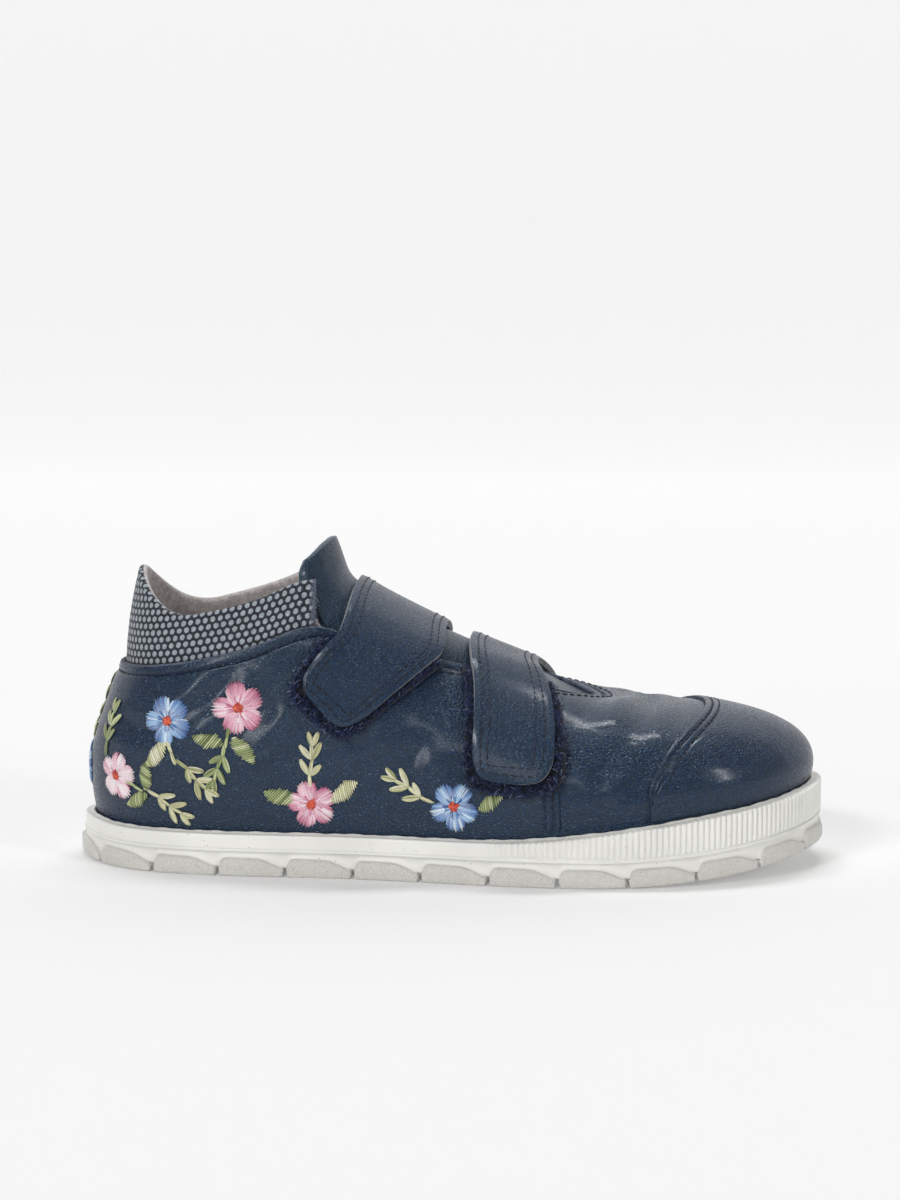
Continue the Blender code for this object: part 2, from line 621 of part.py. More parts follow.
def build_tongue():
    """Leather tongue under the throat, its sides tucked below the quarters, its top standing above the collar."""
    wing_shares = np.array(TONGUE_WING_SHARES)[:, None]
    outer_shares = wing_shares + (1.0 - wing_shares) * np.linspace(0.0, 1.0, 4)
    bridge_shares = np.linspace(0.0, 1.0, 9)[1:-1]
    columns = 2 * outer_shares.shape[1] + len(bridge_shares)
    across = np.linspace(-1.0, 1.0, columns)

    x = np.repeat(np.array(TONGUE_STATIONS)[:, None] * MM, columns, axis=1)
    grid = saddle(x, outer_shares, bridge_shares, outer_shares[:, ::-1])
    bridge = np.concatenate([np.zeros(4), bridge_shares, np.ones(4)])
    crown = (4.0 * bridge * (1.0 - bridge)) ** 0.5
    drop = TONGUE_EDGE_DROP + (TONGUE_CROWN_DROP - TONGUE_EDGE_DROP) * crown
    grid = grid - strap_normals(grid) * drop[:, None]

    ridge = grid[0, columns // 2, 1]
    front_x, front_half = np.array(TONGUE_FRONT).T[:, :, None] * MM
    front_y = ridge + front_half * across
    front_x = np.broadcast_to(front_x, front_y.shape)
    front = np.stack([front_x, front_y, under_vamp(front_x, front_y)], axis=-1)

    top_z, top_x, top_half, top_back = np.array(TONGUE_TOP).T[:, :, None] * MM
    top_x = top_x - top_back * across**2
    top_y = ridge + top_half * across
    top = np.stack([top_x, top_y, np.broadcast_to(top_z, top_y.shape)], axis=-1)
    sheet_piece("tongue", np.concatenate([front, grid, top]), TONGUE_THICKNESS, "tongue leather", outwards=False)


def build_cuff():
    """Dotted textile collar: tucked inside the leather's edge and standing above it, highest at the back."""
    end = edge_u(CUFF_FRONT_X, OUTER)
    start = edge_u(CUFF_FRONT_X, INNER) - 1.0
    u = np.linspace(start, end, CUFF_COLUMNS)
    tuck = np.linspace(CUFF_TUCK_SHARE, 1.0, 4)
    columns, t = np.meshgrid(u, tuck)
    depth = wall_thickness(t) + PIECE_GAP
    low = wall(columns, t) - wall_normal(columns, t) * depth[..., None]
    tab = smoothstep(-np.abs(u) * GIRTH, -CUFF_TAB_HALF, 0.0)
    height = CUFF_HEIGHT + (CUFF_TAB_HEIGHT - CUFF_HEIGHT) * tab
    lean = np.column_stack([-outward(u) * CUFF_LEAN, np.ones(len(u))])
    rise = np.linspace(0.0, 1.0, 5)[1:, None, None]
    high = low[-1] + lean * height[:, None] * rise
    sheet_piece("cuff", np.concatenate([low, high]), CUFF_THICKNESS, "dotted textile", outwards=False)


def main():
    """Clears the scene and builds every piece of the shoe."""
    for old in list(bpy.data.objects):
        bpy.data.objects.remove(old, do_unlink=True)
    build_outsole()
    build_insole()
    build_upper()
    build_toe_cap()
    build_tongue()
    build_cuff()
    build_straps()


main()
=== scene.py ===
"""Looks of a child's high-top sneaker for the right foot: navy leather with thread flowers on a cup sole.

Metres. +X points to the toe, +Y to the inner side of the foot and +Z up. Most surfaces are functions of u,
the share of the way round the sole from the heel along the outer side, and t, the share of the way up the
wall of the upper.
"""

import logging
import math
from collections.abc import Iterable
from dataclasses import dataclass, field
from enum import Enum

import bpy
import numpy as np
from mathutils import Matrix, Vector


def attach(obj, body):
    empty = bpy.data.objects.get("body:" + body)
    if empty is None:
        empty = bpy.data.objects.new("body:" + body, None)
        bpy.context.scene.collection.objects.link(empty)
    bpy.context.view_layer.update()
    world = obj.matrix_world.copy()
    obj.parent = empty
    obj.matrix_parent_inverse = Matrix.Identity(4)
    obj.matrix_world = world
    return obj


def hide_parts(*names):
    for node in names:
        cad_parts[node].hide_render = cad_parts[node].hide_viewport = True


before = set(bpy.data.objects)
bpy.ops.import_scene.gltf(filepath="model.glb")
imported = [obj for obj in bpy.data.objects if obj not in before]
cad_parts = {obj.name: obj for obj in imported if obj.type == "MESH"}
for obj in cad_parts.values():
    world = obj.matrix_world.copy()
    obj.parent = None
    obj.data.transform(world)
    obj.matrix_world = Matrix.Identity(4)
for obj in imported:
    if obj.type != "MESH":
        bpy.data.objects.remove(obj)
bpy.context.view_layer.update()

MM = 0.001
LOG = logging.getLogger("shoe")
Array = np.ndarray
Socket = bpy.types.NodeSocket
Sockets = dict[str, Socket]
Triple = tuple[float, float, float]
Colour = tuple[float, float, float, float]
Lines = list[tuple[Array, Array]]


class Side(Enum):
    """Sides of the right shoe, by the sign of y."""

    OUTER = -1
    INNER = 1


# Outline of the sole's side, seen from above, in millimetres
SOLE_OUTLINE = (
    # x, y
    (-94.0, 0.0),
    (-84.5, -18.0),
    (-62.0, -27.0),
    (-24.0, -29.5),
    (26.0, -36.5),
    (60.0, -33.0),
    (82.5, -20.5),
    (94.0, 4.0),
    (85.5, 23.5),
    (66.0, 33.0),
    (34.0, 36.5),
    (-18.0, 28.0),
    (-60.0, 26.5),
    (-84.5, 17.5),
)

# Wall of the upper from the heel's back to the toe's tip, in millimetres
UPPER_WALL = (
    # x on the sole line, edge x, half gap, ridge y, edge z, flare, rise, handle x, handle out, handle z
    (-94.0, -84.5, 0.0, 0.0, 50.0, 3.8, 17.0, -4.6, 0.0, -13.0),
    (-83.5, -77.2, 15.8, 0.0, 50.4, 3.6, 17.0, -3.0, 3.4, -13.0),
    (-60.0, -58.0, 23.4, 0.0, 53.6, 3.0, 16.0, 0.0, 3.0, -13.5),
    (-45.0, -44.5, 25.0, 0.0, 57.6, 2.8, 17.0, 0.0, 2.8, -14.5),
    (-35.0, -37.5, 24.9, 0.0, 60.6, 2.8, 17.5, 1.5, 3.8, -15.0),
    (-28.0, -31.5, 24.2, 0.2, 61.8, 2.8, 18.0, 3.0, 5.0, -14.5),
    (-21.0, -26.0, 23.2, 0.4, 60.4, 2.8, 18.0, 4.0, 6.4, -13.5),
    (-5.0, -10.0, 20.0, 0.8, 55.6, 3.0, 18.0, 5.0, 9.8, -11.2),
    (13.0, 7.0, 16.2, 1.2, 51.0, 3.2, 18.0, 5.0, 12.6, -8.8),
    (32.0, 23.0, 12.0, 1.6, 47.0, 3.6, 17.5, 7.0, 14.5, -6.4),
    (56.0, 32.0, 7.6, 2.0, 44.4, 4.2, 15.5, 17.0, 16.0, -3.2),
    (82.0, 36.2, 3.4, 2.0, 43.0, 5.0, 14.0, 32.0, 10.0, -1.6),
    (94.0, 37.2, 0.0, 2.0, 42.6, 5.0, 14.0, 39.0, 0.0, -1.2),
)
CORNER_FOOT_X = -28.0 * MM

# Creases as three places in a view, in millimetres; troughs have a positive depth
ABOVE = None
CREASES = (
    # side or view from above, first place, middle place, last place, depth, half width
    (ABOVE, 46.0, -27.0, 51.0, -8.0, 50.0, 10.0, 0.75, 3.6),
    (ABOVE, 40.0, -24.0, 44.0, -6.0, 43.0, 14.0, -0.45, 3.4),
    (ABOVE, 54.0, -24.0, 57.5, -2.0, 55.0, 18.0, 0.40, 3.0),
    (ABOVE, 50.0, 8.0, 48.0, 20.0, 44.0, 29.0, 0.65, 3.6),
    (Side.OUTER, 36.0, 25.0, 41.0, 30.0, 45.0, 36.0, 0.55, 3.4),
    (Side.OUTER, 44.0, 20.0, 48.0, 26.0, 53.0, 32.0, 0.40, 3.0),
    (Side.OUTER, -50.0, 55.0, -56.0, 46.0, -66.0, 40.0, 0.70, 4.6),
    (Side.OUTER, -42.0, 50.0, -49.0, 38.0, -60.0, 28.0, 0.65, 4.4),
    (Side.OUTER, -30.0, 42.0, -36.0, 32.0, -46.0, 23.0, 0.60, 4.0),
    (Side.OUTER, -56.0, 53.0, -63.0, 45.0, -74.0, 43.0, -0.45, 3.8),
    (Side.OUTER, -22.0, 34.0, -27.0, 27.0, -36.0, 20.0, -0.45, 3.6),
    (Side.OUTER, -4.0, 38.0, -8.0, 29.0, -10.0, 21.0, 0.45, 3.6),
    (Side.OUTER, -84.0, 40.0, -78.0, 36.0, -70.0, 35.0, 0.35, 3.2),
    (Side.INNER, -50.0, 55.0, -57.0, 46.0, -67.0, 41.0, 0.70, 4.6),
    (Side.INNER, -38.0, 50.0, -46.0, 38.0, -58.0, 29.0, 0.60, 4.4),
    (Side.INNER, -24.0, 36.0, -31.0, 27.0, -42.0, 21.0, -0.50, 4.0),
    (Side.INNER, 2.0, 36.0, -4.0, 27.0, -12.0, 21.0, 0.50, 3.8),
    (Side.INNER, 38.0, 26.0, 43.0, 31.0, 47.0, 37.0, 0.50, 3.4),
)

# Tongue under the vamp, in millimetres
TONGUE_FRONT = (
    # x, half width
    (46.0, 10.0),
    (41.0, 11.5),
    (36.5, 12.5),
    (32.5, 13.5),
)

# Tongue above the straps, in millimetres
TONGUE_TOP = (
    # z of the middle, z of the sides, x, half width, set back of the sides
    (73.8, 64.4, -26.1, 20.3, 5.2),
    (76.8, 69.0, -27.1, 18.9, 7.2),
    (79.4, 73.0, -28.0, 18.2, 7.4),
    (81.4, 76.0, -28.8, 17.2, 6.6),
    (82.4, 78.0, -29.3, 15.2, 5.2),
)


def smoothstep(value: Array, start: float, end: float) -> Array:
    """Smooth ramp from 0 at start to 1 at end."""
    share = np.clip((value - start) / (end - start), 0.0, 1.0)
    return share * share * (3.0 - 2.0 * share)


def bell(value: Array, middle: float, reach: float) -> Array:
    """Smooth hump: 1 at the middle and 0 one reach away from it."""
    return smoothstep(-np.abs(value - middle), -reach, 0.0)


def unit(vectors: Array) -> Array:
    """Vectors of the last axis at length one."""
    return vectors / np.maximum(np.linalg.norm(vectors, axis=-1, keepdims=True), 1e-12)


def heading(angle: Array | float) -> Array:
    """Direction in a plane at this angle from its first axis."""
    return np.stack([np.cos(angle), np.sin(angle)], axis=-1)


def run_along(path: Array) -> Array:
    """Length of a line from its start to each of its points."""
    return np.append(0.0, np.cumsum(np.linalg.norm(np.diff(path, axis=0), axis=1)))


def bezier(share: Array, start: Array, leave: Array, arrive: Array, end: Array) -> Array:
    """Cubic Bezier curve from a start to an end, by the two handles' points."""
    rest = 1.0 - share
    return rest**3 * start + 3.0 * rest**2 * share * leave + 3.0 * rest * share**2 * arrive + share**3 * end


def grid_faces(rows: int, columns: int, wrap: bool = False) -> Array:
    """Four-sided faces of a grid of points, facing along columns crossed with rows.

    Args:
        rows: Number of rows.
        columns: Number of columns.
        wrap: Whether the last column joins the first.

    Returns:
        Four point numbers for each face.
    """
    index = np.arange(rows * columns).reshape(rows, columns)
    if wrap:
        index = np.append(index, index[:, :1], axis=1)
    corners = [index[:-1, :-1], index[:-1, 1:], index[1:, 1:], index[1:, :-1]]
    return np.stack(corners, axis=-1).reshape(-1, 4)


def grid_normals(grid: Array) -> Array:
    """Unit normals of an open grid of points, along columns crossed with rows."""
    return unit(np.cross(np.gradient(grid, axis=1), np.gradient(grid, axis=0)))


def upward_normals(grid: Array) -> Array:
    """Unit normals of an open grid of points, turned to point up at its middle."""
    normals = grid_normals(grid)
    return normals * np.sign(normals[grid.shape[0] // 2, grid.shape[1] // 2, 2])


def relax(grid: Array, axis: int, passes: int) -> Array:
    """Smooths a grid along one axis: each inner point moves half way to the middle of its neighbours.

    Args:
        grid: Points or vectors.
        axis: Axis of the neighbours.
        passes: Number of moves.

    Returns:
        The smooth grid.
    """
    grid = np.moveaxis(grid, axis, 0).copy()
    for _ in range(passes):
        grid[1:-1] = 0.5 * grid[1:-1] + 0.25 * (grid[:-2] + grid[2:])
    return np.moveaxis(grid, 0, axis)


def refine(grid: Array, rows: int, columns: int) -> Array:
    """Finer grid through a coarse one: cubic curves sloped as the neighbours lie, along both axes in turn.

    Args:
        grid: Coarse grid of points.
        rows: Rows of the fine grid.
        columns: Columns of the fine grid.

    Returns:
        The fine grid.
    """
    for axis, number in ((0, rows), (1, columns)):
        grid = np.moveaxis(grid, axis, 0)
        place = np.linspace(0.0, len(grid) - 1.0, number)
        left = np.minimum(place.astype(int), len(grid) - 2)
        share = (place - left)[:, None, None]
        padded = np.concatenate([2.0 * grid[:1] - grid[1:2], grid, 2.0 * grid[-1:] - grid[-2:-1]])
        before, start, end, after = (padded[left + step] for step in range(4))
        slope_start, slope_end = (end - before) / 6.0, (after - start) / 6.0
        grid = np.moveaxis(bezier(share, start, start + slope_start, end - slope_end, end), 0, axis)
    return grid


class ClosedSpline:
    """Periodic cubic spline, period 1, through the values at the knots."""

    def __init__(self, knots: Array, values: Array) -> None:
        """Solves for the second derivatives at the knots.

        Args:
            knots: Places from 0 to 1, in order.
            values: Rows of values at the knots.
        """
        count = len(knots)
        rows = np.arange(count)
        step = np.diff(np.append(knots, knots[0] + 1.0))
        slope = (np.roll(values, -1, axis=0) - values) / step[:, None]
        matrix = np.zeros((count, count))
        matrix[rows, rows - 1] = step[rows - 1]
        matrix[rows, rows] = 2.0 * (step[rows - 1] + step)
        matrix[rows, (rows + 1) % count] = step
        self.knots, self.values, self.step = knots, values, step
        self.bend = np.linalg.solve(matrix, 6.0 * (slope - np.roll(slope, 1, axis=0)))

    def __call__(self, u: Array) -> Array:
        """Values of the spline.

        Args:
            u: Places, of any shape.

        Returns:
            A row of values for each place.
        """
        place = (np.asarray(u, float) - self.knots[0]) % 1.0 + self.knots[0]
        left = np.searchsorted(self.knots, place, side="right") - 1
        right = (left + 1) % len(self.knots)
        width = self.step[left][..., None]
        after = (place - self.knots[left])[..., None] / width
        before = 1.0 - after
        curved = (before**3 - before) * self.bend[left] + (after**3 - after) * self.bend[right]
        return before * self.values[left] + after * self.values[right] + curved * width**2 / 6.0


@dataclass
class Last:
    """Shape of the shoe's last: outline of the sole, ground line, and the wall of the upper."""

    samples: int = 2880
    probe: float = 0.0015
    step: float = 0.002
    toe_spring: float = 6.0 * MM
    toe_spring_start: float = 36.0 * MM
    heel_rise: float = 1.0 * MM
    heel_rise_start: float = -78.0 * MM
    arch_rise: float = 1.2 * MM
    arch_middle: float = -16.0 * MM
    arch_reach: float = 34.0 * MM
    arch_side: float = 0.7
    floor_height: float = 5.0 * MM
    rim_height: float = 10.4 * MM
    rim_height_toe: float = 15.4 * MM
    rim_rise: tuple[float, float] = (4.0 * MM, 72.0 * MM)
    rim_thickness: float = 2.4 * MM
    gap: float = 0.3 * MM
    seat_lift: float = 0.6 * MM
    cup_share: float = 0.12
    leather: float = 1.9 * MM
    leather_edge: float = 1.3 * MM
    skive_start: float = 0.80
    bridge_handle: float = 0.36

    def __post_init__(self) -> None:
        """Traces the outline by its length, then reads the table of the wall."""
        rows = np.array(SOLE_OUTLINE) * MM
        chords = np.linalg.norm(np.roll(rows, -1, axis=0) - rows, axis=1)
        self._curve = ClosedSpline((np.cumsum(chords) - chords) / chords.sum(), rows)
        self._places = np.linspace(0.0, 1.0, self.samples + 1)
        points = self._curve(self._places)
        lengths = run_along(points)
        self.girth = float(lengths[-1])
        self._lengths = lengths / lengths[-1]
        self._middle = (points.max(axis=0) + points.min(axis=0)) / 2.0
        self._round_u = np.linspace(0.0, 1.0, self.samples, endpoint=False)
        self._round_xy = self.outline(self._round_u)
        self._tip = int(np.argmax(self._round_xy[:, 0]))
        self.tip_u = float(self._round_u[self._tip])
        self._table = self._read_wall()
        self._edges = {side: self._walk_edge(side) for side in Side}
        u, t = np.meshgrid(np.linspace(0.0, 1.0, 960, endpoint=False), np.linspace(0.14, 1.0, 130))
        self._wall_samples = u.ravel(), t.ravel(), self.wall(u, t).reshape(-1, 3)

    def columns(self, half: int) -> Array:
        """Shares u of this many columns on the outer side and as many on the inner."""
        share = np.arange(half) / half
        return np.append(share * self.tip_u, self.tip_u + share * (1.0 - self.tip_u))

    def outline(self, u: Array) -> Array:
        """Places on the outline of the sole, x and y, at the shares u of its length."""
        place = np.interp(np.asarray(u, float) % 1.0, self._lengths, self._places)
        return self._curve(place) - self._middle

    def outward(self, u: Array) -> Array:
        """Unit normal of the outline, pointing away from the foot."""
        ahead = self.outline(np.asarray(u) + self.probe) - self.outline(np.asarray(u) - self.probe)
        return unit(np.stack([ahead[..., 1], -ahead[..., 0]], axis=-1))

    def side_u(self, x: Array | float, side: Side) -> Array:
        """Share u of the place on one side of the outline at this x."""
        part = slice(None, self._tip + 1) if side is Side.OUTER else slice(None, self._tip, -1)
        return np.interp(x, self._round_xy[part, 0], self._round_u[part])

    def lift(self, xy: Array) -> Array:
        """Height of the ground line: toe spring, heel rise and the arch on the inner side.

        Args:
            xy: Places seen from above.

        Returns:
            Heights.
        """
        x, y = xy[..., 0], xy[..., 1]
        toe_end, heel_end = self._round_xy[self._tip, 0], self._round_xy[0, 0]
        toe = np.clip((x - self.toe_spring_start) / (toe_end - self.toe_spring_start), 0.0, None)
        heel = np.clip((self.heel_rise_start - x) / (self.heel_rise_start - heel_end), 0.0, None)
        inner = smoothstep(y, 0.0, self._round_xy[:, 1].max() * self.arch_side)
        arch = bell(x, self.arch_middle, self.arch_reach) * inner
        return self.toe_spring * toe**2 + self.heel_rise * heel**2 + self.arch_rise * arch

    def rim(self, x: Array) -> Array:
        """Height of the cup's rim above the ground line: low at the sides, high round the toe."""
        return self.rim_height + (self.rim_height_toe - self.rim_height) * smoothstep(x, *self.rim_rise)

    def shell(
        self, u: Array, rings: Lines, squeeze: float, heights: tuple[float, float]
    ) -> tuple[Array, list[tuple[Array, int]]]:
        """Rings round the sole, closed below and above by middle lines that both sides share.

        Args:
            u: Shares of the columns, as many on the outer side as on the inner.
            rings: Distance out from the outline and height over the ground line of each ring.
            squeeze: Share of the length that the middle lines keep.
            heights: Heights of the lower and the upper middle line.

        Returns:
            Points and faces.
        """
        number = len(u)
        base, away = self.outline(u), self.outward(u)
        column, pair = np.arange(number), np.arange(number // 2 + 1)
        middle = (base[pair] + base[-pair]) / 2.0 * np.array([squeeze, 1.0])
        places = [(base + away * np.reshape(out, (-1, 1)), height) for out, height in rings]
        places += [(middle, height) for height in heights]
        points = [np.column_stack([xy, height + self.lift(xy)]) for xy, height in places]
        partner, ahead = np.minimum(column, number - column), np.roll(column, -1)
        top, low = (len(rings) - 1) * number, len(rings) * number
        high = low + len(pair)
        under = np.stack([low + partner, low + partner[ahead], ahead, column], axis=-1)
        over = np.stack([top + column, top + ahead, high + partner[ahead], high + partner], axis=-1)
        return np.concatenate(points), [(grid_faces(len(rings), number, True), 0), (under, 0), (over, 0)]

    def _read_wall(self) -> ClosedSpline:
        """Spline of the wall table round the shoe, mirrored to the inner side.

        Returns:
            Edge x, y and z, flare, rise, and handle x, y and z by u.
        """
        rows = np.array(UPPER_WALL) * MM
        places, values = [], []
        for side, table in ((Side.OUTER, rows), (Side.INNER, rows[-2:0:-1])):
            sign = float(side.value)
            places.append(self.side_u(table[:, 0], side))
            edge = [table[:, 1], table[:, 3] + sign * table[:, 2], table[:, 4]]
            values.append(np.column_stack([*edge, table[:, 5:8], sign * table[:, 8], table[:, 9]]))
        places[0][0], places[0][-1] = 0.0, self.tip_u
        return ClosedSpline(np.concatenate(places), np.concatenate(values))

    def wall(self, u: Array, t: Array | float) -> Array:
        """Outer face of the upper.

        A cubic Bezier curve leads from the rim of the cup, by a point flared out and up and a point at the
        edge's handle, to the edge of the collar or throat. Below the rim it drops straight into the cup.

        Args:
            u: Shares of the way round.
            t: Shares of the way up.

        Returns:
            Points.
        """
        u, t = np.broadcast_arrays(np.asarray(u, float), np.asarray(t, float))
        away = self.outward(u)
        foot = self.outline(u) - away * (self.rim_thickness + self.gap)
        ground = self.lift(foot)
        low = ground + self.floor_height + self.gap
        high = ground + self.rim(foot[..., 0]) + self.seat_lift
        table = self._table(u)
        start = np.concatenate([foot, high[..., None]], axis=-1)
        flare = np.concatenate([away * table[..., 3:4], table[..., 4:5]], axis=-1)
        edge = table[..., 0:3]
        share = np.clip((t - self.cup_share) / (1.0 - self.cup_share), 0.0, 1.0)[..., None]
        curve = bezier(share, start, start + flare, edge + table[..., 5:8], edge)
        curve[..., 2] -= (high - low) * (1.0 - np.clip(t / self.cup_share, 0.0, 1.0))
        return curve

    def tangents(self, u: Array, t: Array) -> tuple[Array, Array]:
        """Slopes of the wall, by small steps both ways.

        Args:
            u: Shares of the way round.
            t: Shares of the way up.

        Returns:
            Change of the wall for a unit of u, and for a unit of t.
        """
        step = self.step
        t = np.clip(t, step, 1.0 - step)
        along = self.wall(u + step, t) - self.wall(u - step, t)
        up = self.wall(u, t + step) - self.wall(u, t - step)
        return along / (2.0 * step), up / (2.0 * step)

    def normal(self, u: Array, t: Array) -> Array:
        """Unit normal of the wall, pointing away from the foot."""
        return unit(np.cross(*self.tangents(u, t)))

    def shifted(self, u: Array, t: Array, step: Array) -> tuple[Array, Array]:
        """Shares a small step away, found through the wall's metric.

        Args:
            u: Shares of the way round.
            t: Shares of the way up.
            step: Steps in space, along the wall.

        Returns:
            The new shares u and t.
        """
        along, up = self.tangents(u, t)
        pairs = ((along, along), (along, up), (up, up), (step, along), (step, up))
        square_along, mixed, square_up, by_along, by_up = (np.sum(a * b, axis=-1) for a, b in pairs)
        scale = square_along * square_up - mixed**2
        new_u = u + (square_up * by_along - mixed * by_up) / scale
        return new_u, t + (square_along * by_up - mixed * by_along) / scale

    def thickness(self, t: Array) -> Array:
        """Thickness of the upper: full below, skived towards its edge."""
        return self.leather + (self.leather_edge - self.leather) * smoothstep(t, self.skive_start, 1.0)

    def lining(self, u: Array, t: Array, clear: float) -> Array:
        """Surface inside the upper, this far clear of its lining."""
        return self.wall(u, t) - self.normal(u, t) * (self.thickness(t) + clear)[..., None]

    def _walk_edge(self, side: Side) -> tuple[Array, Array]:
        """Places x and shares u along the throat's edge from the collar's corner to the toe."""
        walk = np.linspace(float(self.side_u(CORNER_FOOT_X, side)), self.tip_u, 1600)
        return self.wall(walk, 1.0)[:, 0], walk

    def edge_u(self, x: Array | float, side: Side) -> Array:
        """Share u of the place on the throat's edge at this x."""
        return np.interp(x, *self._edges[side])

    def bridge(self, x: Array, share: Array) -> Array:
        """Surface that carries the upper across the throat.

        A cubic Bezier curve whose handles leave both edges square to them, a set share of the span long.

        Args:
            x: Places along the throat's edges.
            share: Shares of the way from the outer edge to the inner.

        Returns:
            Points.
        """
        ends, handles = [], []
        for side in Side:
            u = self.edge_u(x, side)
            at_edge = np.ones(u.shape)
            ends.append(self.wall(u, at_edge))
            handles.append(unit(np.cross(self.normal(u, at_edge), self.tangents(u, at_edge)[0])))
        reach = self.bridge_handle * np.linalg.norm(ends[1] - ends[0], axis=-1, keepdims=True)
        leave, arrive = (end + reach * handle for end, handle in zip(ends, handles))
        return bezier(share[..., None], ends[0], leave, arrive, ends[1])

    def saddle(self, x: Array, outer: Array, across: Array, inner: Array, drift: float = 0.0) -> Array:
        """Grid over the instep: up the outer side, across the throat and down the inner side.

        Args:
            x: Places along the throat's edges, one row for each line over the instep.
            outer: Shares of the wall on the outer side, one or a row for each line.
            across: Shares of the way across the throat.
            inner: Shares of the wall on the inner side.
            drift: Share of the outline by which the sides lead back for each share of the wall.

        Returns:
            The grid of points.
        """
        low, high = outer.shape[-1], outer.shape[-1] + len(across)
        up = self.wall(self.edge_u(x[:, :low], Side.OUTER) - drift * (1.0 - outer), outer)
        over = self.bridge(x[:, low:high], np.broadcast_to(across, x[:, low:high].shape))
        down = self.wall(self.edge_u(x[:, high:], Side.INNER) + drift * (1.0 - inner), inner)
        return np.concatenate([up, over, down], axis=1)

    def locate(self, x: float, second: float, side: Side | None) -> tuple[float, float]:
        """Place of the wall nearest to a point of a view.

        Args:
            x: The point's x.
            second: Its z seen from a side, or its y seen from above.
            side: The side that shows, or None for the view from above.

        Returns:
            Shares u and t.
        """
        u, t, points = self._wall_samples
        hidden = t < 0.3 if side is ABOVE else points[:, 1] * side.value < 0.0
        other = points[:, 1 if side is ABOVE else 2]
        best = int(np.argmin((points[:, 0] - x) ** 2 + (other - second) ** 2 + hidden))
        return float(u[best]), float(t[best])


def named(sockets: Iterable[Socket]) -> Sockets:
    """Sockets of a node by their names."""
    return {socket.name: socket for socket in sockets}


class Graph:
    """Adds nodes to a node tree. Values may be sockets, numbers or tuples."""

    def __init__(self, tree: bpy.types.NodeTree) -> None:
        """Keeps the tree that the nodes go to."""
        self.tree = tree

    def feed(self, socket: Socket, value: object) -> None:
        """Links a socket to an input, or sets its value.

        Args:
            socket: The input.
            value: A socket or a plain value.
        """
        if isinstance(value, Socket):
            self.tree.links.new(value, socket)
        else:
            socket.default_value = value

    def node(self, kind: str, inputs: dict | None = None, **settings: object) -> bpy.types.Node:
        """New node with its inputs fed and its settings made.

        Args:
            kind: Type of the node.
            inputs: Values of its inputs, by name or number.
            settings: Values of its properties.

        Returns:
            The node.
        """
        node = self.tree.nodes.new(kind)
        for key, value in settings.items():
            setattr(node, key, value)
        for key, value in (inputs or {}).items():
            self.feed(node.inputs[key], value)
        return node

    def math(self, operation: str, a: object, b: object = 0.0) -> Socket:
        """Result of an operation on one or two values."""
        return self.node("ShaderNodeMath", {0: a, 1: b}, operation=operation).outputs[0]

    def plus(self, a: object, b: object) -> Socket:
        """Sum of two values."""
        return self.math("ADD", a, b)

    def times(self, a: object, b: object) -> Socket:
        """Product of two values."""
        return self.math("MULTIPLY", a, b)

    def vector(self, operation: str, *values: object) -> Socket:
        """Result of an operation on vectors."""
        return self.node("ShaderNodeVectorMath", dict(enumerate(values)), operation=operation).outputs[0]

    def axes(self, vector: Socket) -> list[Socket]:
        """The three parts of a vector."""
        return list(self.node("ShaderNodeSeparateXYZ", {0: vector}).outputs)

    def remap(self, value: object, low: float, high: float, start: float = 0.0, end: float = 1.0) -> Socket:
        """Value led smoothly from start at low to end at high."""
        inputs = {"Value": value, "From Min": low, "From Max": high, "To Min": start, "To Max": end}
        return self.node("ShaderNodeMapRange", inputs, interpolation_type="SMOOTHSTEP").outputs[0]

    def mix(self, share: object, a: object, b: object) -> Socket:
        """Colour between two colours."""
        return self.node("ShaderNodeMix", {0: share, 6: a, 7: b}, data_type="RGBA").outputs[2]

    def noise(self, vector: Socket, scale: float, detail: float = 2.0, roughness: float = 0.5) -> Socket:
        """Smooth noise from 0 to 1."""
        inputs = {"Vector": vector, "Scale": scale, "Detail": detail, "Roughness": roughness}
        return self.node("ShaderNodeTexNoise", inputs).outputs["Fac"]

    def cells(self, vector: Socket, scale: float, feature: str = "F1") -> Socket:
        """Distance in a field of cells."""
        inputs = {"Vector": vector, "Scale": scale}
        return self.node("ShaderNodeTexVoronoi", inputs, feature=feature).outputs["Distance"]

    def stretch(self, vector: Socket, scale: Triple, turn: Triple = (0.0, 0.0, 0.0)) -> Socket:
        """Vector turned and scaled."""
        inputs = {"Vector": vector, "Scale": scale, "Rotation": turn}
        return self.node("ShaderNodeMapping", inputs).outputs[0]

    def warp(self, vector: Socket, scale: float, amount: float) -> Socket:
        """Vector shifted by colour noise.

        Args:
            vector: The vector.
            scale: Scale of the noise.
            amount: Size of the shift.

        Returns:
            The shifted vector.
        """
        inputs = {"Vector": vector, "Scale": scale, "Detail": 1.0}
        noise = self.node("ShaderNodeTexNoise", inputs).outputs["Color"]
        centred = self.vector("SUBTRACT", noise, (0.5,) * 3)
        return self.vector("MULTIPLY_ADD", centred, (amount,) * 3, vector)


